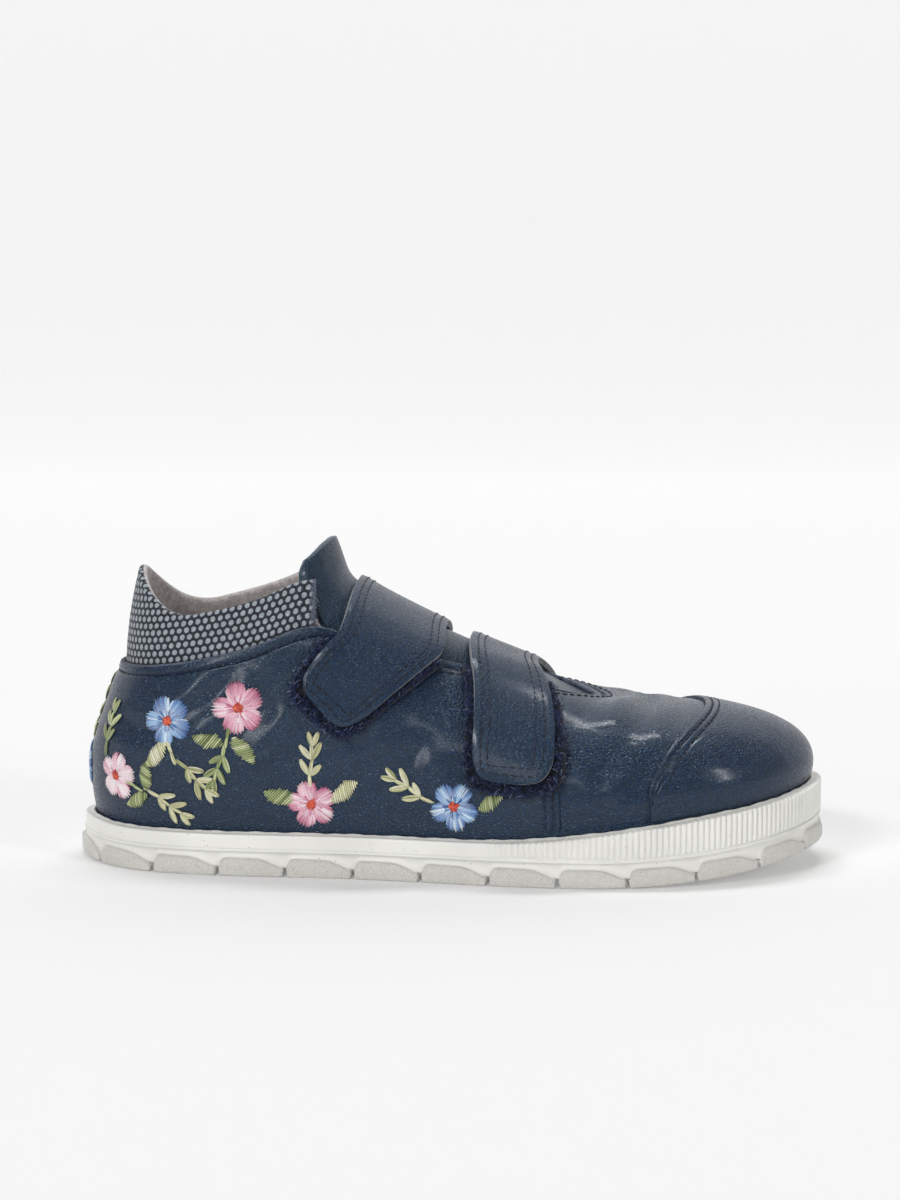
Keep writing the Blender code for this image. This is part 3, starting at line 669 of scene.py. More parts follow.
class Skin(Graph):
    """Nodes of one material, with its shader and the object's coordinates in millimetres."""

    def __init__(self, name: str) -> None:
        """Makes the material.

        Args:
            name: Name of the material.
        """
        self.material = bpy.data.materials.new(name)
        self.material.use_nodes = True
        super().__init__(self.material.node_tree)
        self.shader = self.tree.nodes["Principled BSDF"]
        self.place = self.stretch(self.node("ShaderNodeTexCoord").outputs["Object"], (1.0 / MM,) * 3)

    def set(self, values: dict[str, object]) -> None:
        """Feeds inputs of the shader."""
        for title, value in values.items():
            self.feed(self.shader.inputs[title], value)

    def bump(self, height: Socket, depth: float) -> None:
        """Leads a height of this depth in metres to the shader's normal."""
        inputs = {"Strength": 1.0, "Distance": depth, "Height": height}
        self.set({"Normal": self.node("ShaderNodeBump", inputs).outputs[0]})

    def point_data(self, name: str, output: str = "Fac") -> Socket:
        """Mask or colour kept at the points of the mesh."""
        return self.node("ShaderNodeAttribute", attribute_name=name).outputs[output]

    def own_map(self) -> Socket:
        """The piece's own map coordinates."""
        return self.node("ShaderNodeUVMap", uv_map="map").outputs[0]


class Effect:
    """A shader node group that several finishes share. It gives out masks and heights only."""

    name = "effect"
    inputs: dict[str, float] = {}
    outputs: tuple[str, ...] = ("Height",)

    def wire(self, graph: Graph, given: Sockets) -> Sockets:
        """Sockets of the group's outputs, made from its inputs."""
        raise NotImplementedError

    def tree(self) -> bpy.types.NodeTree:
        """The group, made on its first use.

        Returns:
            The node tree.
        """
        known = bpy.data.node_groups.get(self.name)
        if known:
            return known
        tree = bpy.data.node_groups.new(self.name, "ShaderNodeTree")
        tree.interface.new_socket(name="Vector", in_out="INPUT", socket_type="NodeSocketVector")
        for title, value in self.inputs.items():
            socket = tree.interface.new_socket(name=title, in_out="INPUT", socket_type="NodeSocketFloat")
            socket.default_value = value
        for title in self.outputs:
            tree.interface.new_socket(name=title, in_out="OUTPUT", socket_type="NodeSocketFloat")
        graph = Graph(tree)
        given = named(graph.node("NodeGroupInput").outputs)
        graph.node("NodeGroupOutput", self.wire(graph, given))
        return tree

    def place(self, graph: Graph, vector: Socket, **values: float) -> Sockets:
        """This group in a material: its outputs, with its inputs fed."""
        inputs = {"Vector": vector, **values}
        return named(graph.node("ShaderNodeGroup", inputs, node_tree=self.tree()).outputs)


class LeatherGrain(Effect):
    """Fine pebbled grain between short creases, with pores. The vector is in millimetres."""

    name = "leather grain"

    def wire(self, graph: Graph, given: Sockets) -> Sockets:
        """Pebbles from the borders of warped cells, drawn out one way, plus short wrinkles and fine pores.

        Args:
            graph: Nodes of the group.
            given: The group's inputs.

        Returns:
            The group's outputs.
        """
        vector = given["Vector"]
        warped = graph.stretch(graph.warp(vector, 1.3, 0.42), (0.78, 1.0, 1.12), (0.0, 0.6, 0.0))
        pebbles = graph.remap(graph.cells(warped, 1.3, "DISTANCE_TO_EDGE"), 0.0, 0.30)
        wrinkles = graph.noise(warped, 1.1, 3.0)
        pores = graph.noise(vector, 6.0, 2.0)
        height = graph.plus(graph.times(pebbles, 0.62), graph.times(wrinkles, 0.36))
        return {"Height": graph.plus(height, graph.times(pores, 0.12))}


class Mottle(Effect):
    """Cloudy change over centimetres and over millimetres, from 0 to 1. The vector is in millimetres."""

    name = "mottle"
    outputs = ("Broad", "Fine")

    def wire(self, graph: Graph, given: Sockets) -> Sockets:
        """Two noises, each stretched to use its whole range.

        Args:
            graph: Nodes of the group.
            given: The group's inputs.

        Returns:
            The group's outputs.
        """
        broad = graph.remap(graph.noise(given["Vector"], 0.055, 3.0), 0.32, 0.68)
        fine = graph.remap(graph.noise(given["Vector"], 0.55, 4.0, 0.6), 0.30, 0.70)
        return {"Broad": broad, "Fine": fine}


class DotLattice(Effect):
    """Round dots in rows that are shifted by half a step. The vector is in millimetres."""

    name = "dot lattice"
    inputs = {"Pitch": 2.0, "Radius": 0.65}
    outputs = ("Mask",)
    row_ratio = 1.72
    soft_edge = 0.09

    def wire(self, graph: Graph, given: Sockets) -> Sockets:
        """Least distance to the points of two rectangular lattices, half a step apart both ways.

        Args:
            graph: Nodes of the group.
            given: The group's inputs.

        Returns:
            The group's outputs.
        """
        pitch = given["Pitch"]
        across, rise, _ = graph.axes(graph.warp(given["Vector"], 0.8, 0.28))
        along = graph.math("DIVIDE", across, pitch)
        up = graph.math("DIVIDE", rise, graph.times(pitch, self.row_ratio))
        lengths = []
        for shift in (0.0, 0.5):
            squares = []
            for value, size in ((along, 1.0), (up, self.row_ratio)):
                moved = graph.plus(value, shift)
                scaled = graph.times(graph.math("SUBTRACT", moved, graph.math("ROUND", moved)), size)
                squares.append(graph.times(scaled, scaled))
            lengths.append(graph.math("SQRT", graph.plus(*squares)))
        distance = graph.times(graph.math("MINIMUM", *lengths), pitch)
        past = graph.math("SUBTRACT", distance, given["Radius"])
        return {"Mask": graph.remap(past, -self.soft_edge, self.soft_edge, 1.0, 0.0)}


class ThreadTwist(Effect):
    """Slanting strands of a twisted thread. The vector's x is millimetres along it, y the way round."""

    name = "thread twist"
    strands = 2
    twist = 9.0

    def wire(self, graph: Graph, given: Sockets) -> Sockets:
        """Sine of the way round plus the way along.

        Args:
            graph: Nodes of the group.
            given: The group's inputs.

        Returns:
            The group's outputs.
        """
        along, around, _ = graph.axes(given["Vector"])
        turns = graph.times(around, 2.0 * math.pi * self.strands)
        phase = graph.plus(turns, graph.times(along, self.twist))
        return {"Height": graph.times(graph.math("SINE", phase), 0.5)}


class Speckle(Effect):
    """Small scattered specks and a rough stipple. The vector is in millimetres."""

    name = "speckle"
    outputs = ("Specks", "Stipple")

    def wire(self, graph: Graph, given: Sockets) -> Sockets:
        """Cores of sparse cells for specks, sharp noise for the stipple.

        Args:
            graph: Nodes of the group.
            given: The group's inputs.

        Returns:
            The group's outputs.
        """
        vector = given["Vector"]
        core = graph.remap(graph.cells(vector, 0.75), 0.055, 0.10, 1.0, 0.0)
        sparse = graph.remap(graph.noise(vector, 0.31), 0.50, 0.56)
        return {"Specks": graph.times(core, sparse), "Stipple": graph.noise(vector, 2.6, 3.0, 0.7)}


def linear(red: int, green: int, blue: int) -> Colour:
    """Linear colour of a display colour.

    Args:
        red: Red from 0 to 255.
        green: Green from 0 to 255.
        blue: Blue from 0 to 255.

    Returns:
        The colour, with full cover as its fourth value.
    """
    share = np.array([red, green, blue]) / 255.0
    value = np.where(share <= 0.04045, share / 12.92, ((share + 0.055) / 1.055) ** 2.4)
    return (*value.tolist(), 1.0)


class Finish:
    """Base of the finishes."""

    name = "finish"

    def dress(self, skin: Skin) -> None:
        """Adds the finish's own nodes."""
        raise NotImplementedError

    def material(self) -> bpy.types.Material:
        """New material with this finish.

        Returns:
            The material.
        """
        skin = Skin(self.name)
        self.dress(skin)
        return skin.material


@dataclass(frozen=True)
class Leather(Finish):
    """Satin leather with a thin coat: painted shade between the pebbles of its grain, and smoother tops
    with a painted glint.
    """

    name: str = "navy leather"
    # Painted shade between the grain's pebbles and painted glint on their tops, then the colour of the
    # painted highlight on raised ridges
    shaded_valley: Colour = linear(9, 22, 44)
    glint_crest: Colour = linear(24, 48, 80)
    raised_pale: Colour = linear(74, 100, 128)
    gleam: Colour = (0.60, 0.82, 1.0, 1.0)
    roughness: float = 0.27
    grain: float = 0.19 * MM
    coat: float = 0.26

    def dress(self, skin: Skin) -> None:
        """Grain leads bump, roughness and colour: painted glint on its tops, painted shade between them.
        Mottle and the point mask add a paler colour on raised ridges, a painted highlight.

        Args:
            skin: Nodes of the material.
        """
        mottle = Mottle().place(skin, skin.place)
        grain = LeatherGrain().place(skin, skin.place)["Height"]
        tops = skin.remap(grain, 0.38, 0.92)
        cloud = skin.remap(mottle["Broad"], 0.0, 1.0, 0.78, 1.0)
        # Painted glint and shade: paler colour on the grain's tops, darker between the pebbles
        shade = skin.mix(skin.times(tops, cloud), self.shaded_valley, self.glint_crest)
        # Painted highlight: paler colour on raised ridges, where the point mask is set
        ridge_highlight = skin.times(skin.point_data("mark"), skin.times(mottle["Fine"], tops))
        rough, smooth = self.roughness + 0.16, self.roughness - 0.03
        skin.set(
            {
                "Base Color": skin.mix(ridge_highlight, shade, self.raised_pale),
                "Roughness": skin.remap(tops, 0.0, 1.0, rough, smooth),
                "Specular IOR Level": 0.55,
                "Specular Tint": self.gleam,
                "Coat Weight": self.coat,
                "Coat Roughness": 0.17,
            }
        )
        skin.bump(grain, self.grain)


@dataclass(frozen=True)
class Fleece(Finish):
    """Matt fibrous finish for linings, raw cut edges, footbed and the pile's ground."""

    name: str = "lining"
    dark: Colour = linear(168, 160, 158)
    pale: Colour = linear(208, 202, 200)
    fibre: float = 1.6
    depth: float = 0.35 * MM
    sheen: float = 0.25

    def dress(self, skin: Skin) -> None:
        """Fine noise as fibres, cloudy noise for the colour.

        Args:
            skin: Nodes of the material.
        """
        mottle = Mottle().place(skin, skin.place)
        fibres = skin.noise(skin.warp(skin.place, self.fibre * 0.6, 0.8), self.fibre, 4.0, 0.65)
        share = skin.remap(skin.plus(fibres, skin.times(mottle["Fine"], 0.3)), 0.4, 0.9)
        skin.set({"Base Color": skin.mix(share, self.dark, self.pale), "Roughness": 0.92})
        skin.set({"Sheen Weight": self.sheen, "Sheen Roughness": 0.5})
        skin.bump(fibres, self.depth)


@dataclass(frozen=True)
class DottedTextile(Finish):
    """Near-black textile with bluish specks and raised silver-grey dots, raw where the mask says so."""

    name: str = "dotted textile"
    ground: Colour = linear(17, 20, 28)
    speck: Colour = linear(78, 88, 108)
    dot_dark: Colour = linear(96, 106, 118)
    dot_pale: Colour = linear(198, 205, 214)
    raw: Colour = linear(104, 114, 132)
    pitch: float = 2.05
    radius: float = 0.68

    def dress(self, skin: Skin) -> None:
        """Dots from the lattice on the piece's own map, grained with sharp noise.

        Args:
            skin: Nodes of the material.
        """
        dots = DotLattice().place(skin, skin.own_map(), Pitch=self.pitch, Radius=self.radius)["Mask"]
        rough = skin.noise(skin.place, 4.6, 3.0, 0.7)
        raised_pale = skin.times(dots, skin.remap(rough, 0.26, 0.42))
        grain = skin.remap(skin.noise(skin.place, 7.5, 2.0, 0.7), 0.36, 0.66)
        specks = skin.remap(skin.noise(skin.place, 6.2, 2.0, 0.75), 0.58, 0.66)
        ground = skin.mix(specks, self.ground, self.speck)
        dotted = skin.mix(raised_pale, ground, skin.mix(grain, self.dot_dark, self.dot_pale))
        fibres = skin.mix(skin.remap(rough, 0.35, 0.65), self.ground, self.raw)
        skin.set({"Base Color": skin.mix(skin.point_data("mark"), dotted, fibres)})
        skin.set({"Roughness": 0.78, "Sheen Weight": 0.15})
        skin.bump(skin.plus(skin.times(raised_pale, 0.8), skin.times(rough, 0.5)), 0.16 * MM)


@dataclass(frozen=True)
class Thread(Finish):
    """Twisted thread in its point colours; shiny for satin stitch, dull for seams and pile."""

    name: str = "satin thread"
    roughness: float = 0.42
    sheen: float = 0.35

    def dress(self, skin: Skin) -> None:
        """Point colour, with painted shade in the twist's grooves.

        Args:
            skin: Nodes of the material.
        """
        twist = ThreadTwist().place(skin, skin.own_map())["Height"]
        tint = skin.point_data("tint", "Color")
        # Painted shade: the point colour darkened in the grooves between the twist's strands
        dark = skin.vector("MULTIPLY", tint, (0.45,) * 3)
        skin.set({"Base Color": skin.mix(skin.remap(twist, -0.5, 0.3, 0.35, 0.0), tint, dark)})
        skin.set({"Roughness": self.roughness, "Sheen Weight": self.sheen})
        skin.bump(twist, 0.05 * MM)


@dataclass(frozen=True)
class Rubber(Finish):
    """Warm off-white rubber with dark specks; the tread pads are rougher and greyer."""

    name: str = "white rubber"
    clean: Colour = linear(238, 237, 232)
    shaded: Colour = linear(230, 229, 224)
    pad: Colour = linear(200, 197, 190)
    speck: Colour = linear(92, 86, 80)

    def dress(self, skin: Skin) -> None:
        """The point mask marks the pads, which take stipple and dust.

        Args:
            skin: Nodes of the material.
        """
        mottle = Mottle().place(skin, skin.place)
        speckle = Speckle().place(skin, skin.place)
        stipple, pads = speckle["Stipple"], skin.point_data("mark")
        dust = skin.times(pads, skin.remap(stipple, 0.35, 0.70, 0.75, 0.10))
        base = skin.mix(dust, skin.mix(mottle["Broad"], self.clean, self.shaded), self.pad)
        skin.set({"Base Color": skin.mix(speckle["Specks"], base, self.speck)})
        skin.set({"Roughness": skin.remap(pads, 0.0, 1.0, 0.48, 0.75)})
        skin.set({"Subsurface Weight": 0.06, "Subsurface Radius": (0.002, 0.0018, 0.0015)})
        skin.bump(skin.times(stipple, skin.remap(pads, 0.0, 1.0, 0.03, 1.0)), 0.38 * MM)


@dataclass(frozen=True)
class Paper(Finish):
    """Plain pale studio ground whose grey and glow follow point masks, to keep one even tone."""

    name: str = "studio ground"
    reflects: float = 0.72

    def dress(self, skin: Skin) -> None:
        """Matt grey and glow, each by its own point mask.

        Args:
            skin: Nodes of the material.
        """
        black, white = (0.0, 0.0, 0.0, 1.0), (1.0, 1.0, 1.0, 1.0)
        for name, title in (("shade", "Base Color"), ("glow", "Emission Color")):
            skin.set({title: skin.mix(skin.point_data(name), black, white)})
        skin.set({"Emission Strength": 1.0, "Roughness": 1.0, "Specular IOR Level": 0.0})


@dataclass
class Draft:
    """Points, faces and point data of a piece while it is put together."""

    points: list[Array] = field(default_factory=list)
    faces: list[Array] = field(default_factory=list)
    slots: list[Array] = field(default_factory=list)
    uv: list[Array] = field(default_factory=list)
    tint: list[Array] = field(default_factory=list)
    mark: list[Array] = field(default_factory=list)
    count: int = 0

    def add(
        self,
        points: Array,
        faces: list[tuple[Array, int]],
        uv: Array | None = None,
        tint: Array | None = None,
        mark: Array | None = None,
    ) -> None:
        """Adds points with their faces.

        Args:
            points: Places, in any grid shape.
            faces: Arrays of face corners with the material slot of each.
            uv: Own map coordinates, one pair for each point.
            tint: Colours, one for each point.
            mark: Mask value, one for each point.
        """
        points = points.reshape(-1, 3)
        number = len(points)
        for corners, slot in faces:
            self.faces.append(corners + self.count)
            self.slots.append(np.full(len(corners), slot))
        self.points.append(points)
        self.uv.append(np.zeros((number, 2)) if uv is None else uv.reshape(-1, 2))
        self.tint.append(np.ones((number, 4)) if tint is None else tint.reshape(-1, 4))
        self.mark.append(np.zeros(number) if mark is None else mark.reshape(-1))
        self.count += number

    def sheet(self, top: Array, back: Array, mark: Array | None = None) -> None:
        """Adds a closed sheet between two grids: face in slot 0, cut edge in slot 1, back in slot 2.

        Args:
            top: Points of the face.
            back: Points of the back.
            mark: Mask values of the face.
        """
        rows, columns = top.shape[:2]
        number = rows * columns
        index = np.arange(number).reshape(rows, columns)
        ring = np.concatenate([index[0, :-1], index[:-1, -1], index[-1, :0:-1], index[:0:-1, 0]])
        ahead = np.roll(ring, -1)
        edge = np.stack([ring + number, ahead + number, ahead, ring], axis=-1)
        face = grid_faces(rows, columns)
        faces = [(face, 0), (edge, 1), (face[:, ::-1] + number, 2)]
        marks = None if mark is None else np.append(mark.ravel(), np.zeros(number))
        self.add(np.concatenate([top.reshape(-1, 3), back.reshape(-1, 3)]), faces, mark=marks)

    def tubes(
        self,
        paths: Array,
        normals: Array,
        half: Array | float,
        high: Array | float,
        tint: Array,
        slot: int = 0,
    ) -> None:
        """Adds many threads at once: an ellipse of five points carried along each path, thin at its ends.

        Args:
            paths: Middle lines, one for each thread, of the same number of points.
            normals: Unit normals of the ground under the paths.
            half: Half width of the threads, or of each.
            high: Half height of the threads, or of each.
            tint: Colour of all threads, of each thread, or of each point of its path.
            slot: Material slot.
        """
        sides = 5
        number, steps = paths.shape[:2]
        ahead = unit(np.gradient(paths, axis=1))
        across = unit(np.cross(normals, ahead))
        above = np.cross(ahead, across)
        share = np.linspace(0.0, 1.0, steps)
        taper = (0.62 + 0.38 * np.sin(np.pi * share) ** 0.5)[None, :, None, None]
        around = heading(np.arange(sides) / sides * 2.0 * np.pi)
        half, high = (np.broadcast_to(size, (number,))[:, None, None, None] for size in (half, high))
        sideways = around[:, 0:1] * across[:, :, None, :] * half
        upwards = around[:, 1:2] * above[:, :, None, :] * high
        points = paths[:, :, None, :] + (sideways + upwards) * taper
        base = (np.arange(number) * steps * sides)[:, None, None]
        tube = base + grid_faces(steps, sides, wrap=True)[None]
        first = base[:, 0] + np.arange(sides)[::-1]
        last = base[:, 0] + (steps - 1) * sides + np.arange(sides)
        length = np.linalg.norm(np.diff(paths, axis=1), axis=2).sum(axis=1) / MM
        map_along = share[None, :, None] * length[:, None, None]
        uv = np.stack(np.broadcast_arrays(map_along, np.arange(sides) / sides), axis=-1)
        shades = np.broadcast_to(tint.reshape(len(tint), -1, 1, 4), (number, steps, sides, 4))
        self.add(points, [(tube.reshape(-1, 4), slot), (first, slot), (last, slot)], uv=uv, tint=shades)

    def build(
        self, name: str, finishes: list[Finish], slot: str, stands_for: str = "", sharp: float = 0.0
    ) -> bpy.types.Object:
        """Makes the piece as one mesh object that rides on the shoe.

        Args:
            name: Name of the piece.
            finishes: Finishes of its material slots, in order.
            slot: The record's material slot; not used.
            stands_for: The node that it replaces, if any.
            sharp: Angle in degrees above which edges stay sharp, or 0 for none.

        Returns:
            The object.
        """
        mesh = bpy.data.meshes.new(name)
        points = np.concatenate(self.points)
        corners = np.concatenate([face.ravel() for face in self.faces]).astype(np.int32)
        sizes = np.concatenate([np.full(len(face), face.shape[1]) for face in self.faces])
        mesh.vertices.add(len(points))
        mesh.vertices.foreach_set("co", points.astype(np.float32).ravel())
        mesh.loops.add(len(corners))
        mesh.loops.foreach_set("vertex_index", corners)
        mesh.polygons.add(len(sizes))
        mesh.polygons.foreach_set("loop_start", (np.cumsum(sizes) - sizes).astype(np.int32))
        mesh.polygons.foreach_set("material_index", np.concatenate(self.slots).astype(np.int32))
        mesh.polygons.foreach_set("use_smooth", np.ones(len(sizes), bool))
        mesh.update(calc_edges=True)
        layer = mesh.uv_layers.new(name="map")
        layer.data.foreach_set("uv", np.concatenate(self.uv)[corners].astype(np.float32).ravel())
        tint = mesh.color_attributes.new("tint", "FLOAT_COLOR", "POINT")
        tint.data.foreach_set("color", np.concatenate(self.tint).astype(np.float32).ravel())
        mark = mesh.attributes.new("mark", "FLOAT", "POINT")
        mark.data.foreach_set("value", np.concatenate(self.mark).astype(np.float32))
        if sharp:
            mesh.set_sharp_from_angle(angle=math.radians(sharp))
        materials = {finish: finish.material() for finish in dict.fromkeys(finishes)}
        for finish in finishes:
            mesh.materials.append(materials[finish])
        piece = bpy.data.objects.new(name, mesh)
        bpy.context.scene.collection.objects.link(piece)
        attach(piece, "root")
        if stands_for:
            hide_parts(stands_for)
        LOG.info("%s: %d points, %d triangles", name, len(points), int((sizes - 2).sum()))
        return piece


@dataclass
class CupSole:
    """Moulded cup sole: tread pads that climb the side, a bead, ribs round the toe and a rim."""

    last: Last
    half_columns: int = 900
    pads_per_side: int = 13
    pad_proud: float = 1.1 * MM
    pad_depth: float = 2.0 * MM
    pad_reach: float = 10.0 * MM
    pad_climb: float = 4.7 * MM
    island_inset: float = 14.5 * MM
    island_length: float = 0.78
    bead_height: float = 6.5 * MM
    bead_half: float = 0.45 * MM
    bead_proud: float = 0.5 * MM
    rib_columns: int = 6
    rib_proud: float = 0.62 * MM
    rib_start: float = 8.0 * MM
    rib_fade: float = 12.0 * MM
    lip_height: float = 0.42 * MM

    def __post_init__(self) -> None:
        """Sets the columns, and where they stand on a pad or a rib."""
        self.u = self.last.columns(self.half_columns)
        self.x = self.last.outline(self.u)[:, 0]
        self.stand, self.climb = self.pads()
        self.ribbed = smoothstep(self.x, self.rib_start, self.rib_start + self.rib_fade)

    def pads(self) -> tuple[Array, Array]:
        """Which columns stand on a pad, and how far the pad climbs the side there.

        Returns:
            The stand, from 0 to 1, and the share of the full climb.
        """
        u, tip = self.u, self.last.tip_u
        phase = np.where(u < tip, u / tip, (1.0 - u) / (1.0 - tip)) * self.pads_per_side % 1.0
        stand = smoothstep(phase, 0.034, 0.060) * smoothstep(1.0 - phase, -0.004, 0.022)
        shares = [0.0, 0.05, 0.075, 0.11, 0.17, 0.60, 0.70, 0.86, 0.95, 1.0]
        climbs = [0.5, 0.55, 0.80, 0.95, 1.0, 0.97, 0.90, 0.66, 0.50, 0.42]
        return stand, np.interp(phase, shares, climbs)

    def ribs(self) -> Array:
        """Half-round waves of the toe bumper, from 0 in a groove to 1 on a rib."""
        steps = np.abs(np.arange(len(self.u)) - self.half_columns) % self.rib_columns
        return np.sin(np.pi * steps / self.rib_columns) ** 0.75 * self.ribbed

    def rows(self) -> list[tuple[Array | float, Array | float, float]]:
        """Rows of the profile from the tread to the cup, in millimetres.

        Returns:
            Distance out from the side, height over the ground line, and share of the pads' mask.
        """
        stand, wave = self.stand, self.ribs()
        sizes = (self.pad_depth, self.pad_reach, self.island_inset, self.last.rim_thickness)
        deep, reach, inset, wall = (size / MM for size in sizes)
        proud = self.pad_proud / MM * stand
        plane = deep * (1.0 - stand)
        top = np.maximum(self.pad_climb / MM * self.climb, deep + 0.5)
        bead, half = self.bead_height / MM, self.bead_half / MM
        rows = [
            (-inset, 0.0, 0.6),
            (-inset + 0.25, 0.2, 0.6),
            (-inset + 0.7, deep, 0.3),
            (-reach - 0.7 * stand, deep, 0.3),
            (-reach - 0.2 * stand, plane + 0.25 * stand, 0.8),
            (-reach + 0.3, plane, 0.8),
            (-5.0, plane, 0.8),
            (-0.4 + 0.35 * proud, plane, 1.0),
            (proud * 0.80, plane + 0.16 * stand, 1.0),
            (proud, plane + 0.50 * stand + 0.05, 1.0),
        ]
        rows += [(proud, plane + (top - plane) * share, 1.0) for share in (0.35, 0.55, 0.75)]
        rows += [
            (proud, top - 0.45, 1.0),
            (proud * 0.86, top - 0.20, 1.0),
            (proud * 0.45, top - 0.04, 0.8),
            (0.0, top + 0.06, 0.1),
            (0.0, (top + bead - half) / 2.0, 0.0),
        ]
        for turn in np.linspace(-np.pi / 2.0, np.pi / 2.0, 6):
            out = self.bead_proud / MM * max(math.cos(turn), 0.0)
            rows.append((out, bead + half * math.sin(turn), 0.0))
        low, body = bead + half, self.rib_proud / MM * wave
        rim = self.last.rim(self.x) / MM
        crown = rim - 0.35 * (1.0 - wave) * self.ribbed
        way = self.u * self.last.girth / MM
        lip = self.lip_height / MM * (1.0 + 0.30 * np.sin(way * 0.9) * np.sin(way * 0.37 + 1.0))
        rows += [(body * share, low + rise, 0.0) for share, rise in ((0.0, 0.15), (0.6, 0.35), (0.95, 0.7))]
        rows += [(body, low + (crown - low) * share, 0.0) for share in (0.35, 0.55, 0.75)]
        rows += [
            (body * 0.97, crown - 0.55, 0.0),
            (body * 0.80 - 0.05, crown - 0.25, 0.0),
            (body * 0.45 - 0.25, crown - 0.05, 0.0),
            (-0.7, crown + 0.02, 0.0),
            (-1.45, rim, 0.0),
            (-1.70, rim + 0.55 * lip, 0.0),
            (-2.00, rim + lip, 0.0),
            (-2.28, rim + 0.80 * lip, 0.0),
            (-wall, rim - 0.1, 0.0),
            (-wall, rim - 2.0, 0.0),
            (-wall, self.last.floor_height / MM, 0.0),
        ]
        return rows

    def build(self) -> None:
        """Rings of the profile, closed on the tread and in the cup."""
        rows = self.rows()
        rings = [(out * MM, height * MM) for out, height, _ in rows]
        heights = (0.0, self.last.floor_height)
        points, faces = self.last.shell(self.u, rings, self.island_length, heights)
        marks = [np.where(mask > 0.65, mask * np.maximum(self.stand, 0.4), mask) for *_, mask in rows]
        middle = self.half_columns + 1
        draft = Draft()
        draft.add(points, faces, mark=np.concatenate([*marks, np.full(middle, 0.6), np.zeros(middle)]))
        draft.build("cup_sole", [Rubber()], "rubber", "outsole")


@dataclass
class Footbed:
    """Fleecy insole in the cup, slightly dished."""

    last: Last
    half_columns: int = 180
    edge: float = 4.95 * MM
    low: float = 0.42 * MM
    thickness: float = 3.2 * MM
    middle_length: float = 0.74

    def build(self) -> None:
        """Rings from the underside over a rounded edge to the top."""
        low = self.last.floor_height + self.low
        high = low + self.thickness
        profile = (
            # inset from the edge, height
            (12.0 * MM, low),
            (0.5 * MM, low),
            (0.0, low + 0.4 * MM),
            (0.0, high - 0.7 * MM),
            (0.35 * MM, high - 0.15 * MM),
            (1.2 * MM, high),
            (5.0 * MM, high - 0.15 * MM),
            (12.0 * MM, high - 0.35 * MM),
        )
        rings = [(-self.edge - inset, height) for inset, height in profile]
        columns = self.last.columns(self.half_columns)
        draft = Draft()
        draft.add(*self.last.shell(columns, rings, self.middle_length, (low, high - 0.4 * MM)))
        draft.build("footbed", [Fleece(name="footbed fleece")], "footbed", "insole")


@dataclass
class Creases:
    """Soft troughs and ridges placed on the wall, where the leather folds in use."""

    last: Last
    samples: int = 28
    neighbourhood: float = 34.0 * MM

    def __post_init__(self) -> None:
        """Reads the table into middle lines on the wall, with depths and half widths."""
        self._lines = [self._line(row[0], np.array(row[1:7])) for row in CREASES]
        self._sizes = [(row[7] * MM, row[8] * MM) for row in CREASES]

    def _line(self, side: Side | None, row: Array) -> Array:
        """Middle line of one crease: a quadratic curve through its places in u and t, laid on the wall.

        Args:
            side: The side that shows, or None for the view from above.
            row: Three places in the view, in millimetres.

        Returns:
            Points of the line.
        """
        first, middle, last = (np.array(self.last.locate(*pair, side)) for pair in row.reshape(3, 2) * MM)
        share = np.linspace(0.0, 1.0, self.samples)[:, None]
        bend = 2.0 * middle - (first + last) / 2.0
        line = (1.0 - share) ** 2 * first + 2.0 * share * (1.0 - share) * bend + share**2 * last
        return self.last.wall(line[:, 0], line[:, 1])

    def depth(self, points: Array) -> Array:
        """Depth below the wall: each crease is a trough with a low ridge at both sides.

        Args:
            points: Points of the wall.

        Returns:
            A depth for each point.
        """
        flat = points.reshape(-1, 3)
        total = np.zeros(len(flat))
        fade = np.sin(np.pi * np.linspace(0.0, 1.0, self.samples)) ** 0.6
        for line, (depth, half) in zip(self._lines, self._sizes):
            near = np.nonzero(np.all(np.abs(flat - line.mean(axis=0)) < self.neighbourhood, axis=1))[0]
            away = np.linalg.norm(flat[near, None, :] - line[None], axis=2)
            best = np.argmin(away, axis=1)
            far = away[np.arange(len(near)), best] / half
            trough = np.exp(-(far**2) * 1.6) - 0.35 * np.exp(-((far - 1.7) ** 2) * 2.2)
            total[near] += depth * trough * fade[best]
        return total.reshape(points.shape[:-1])


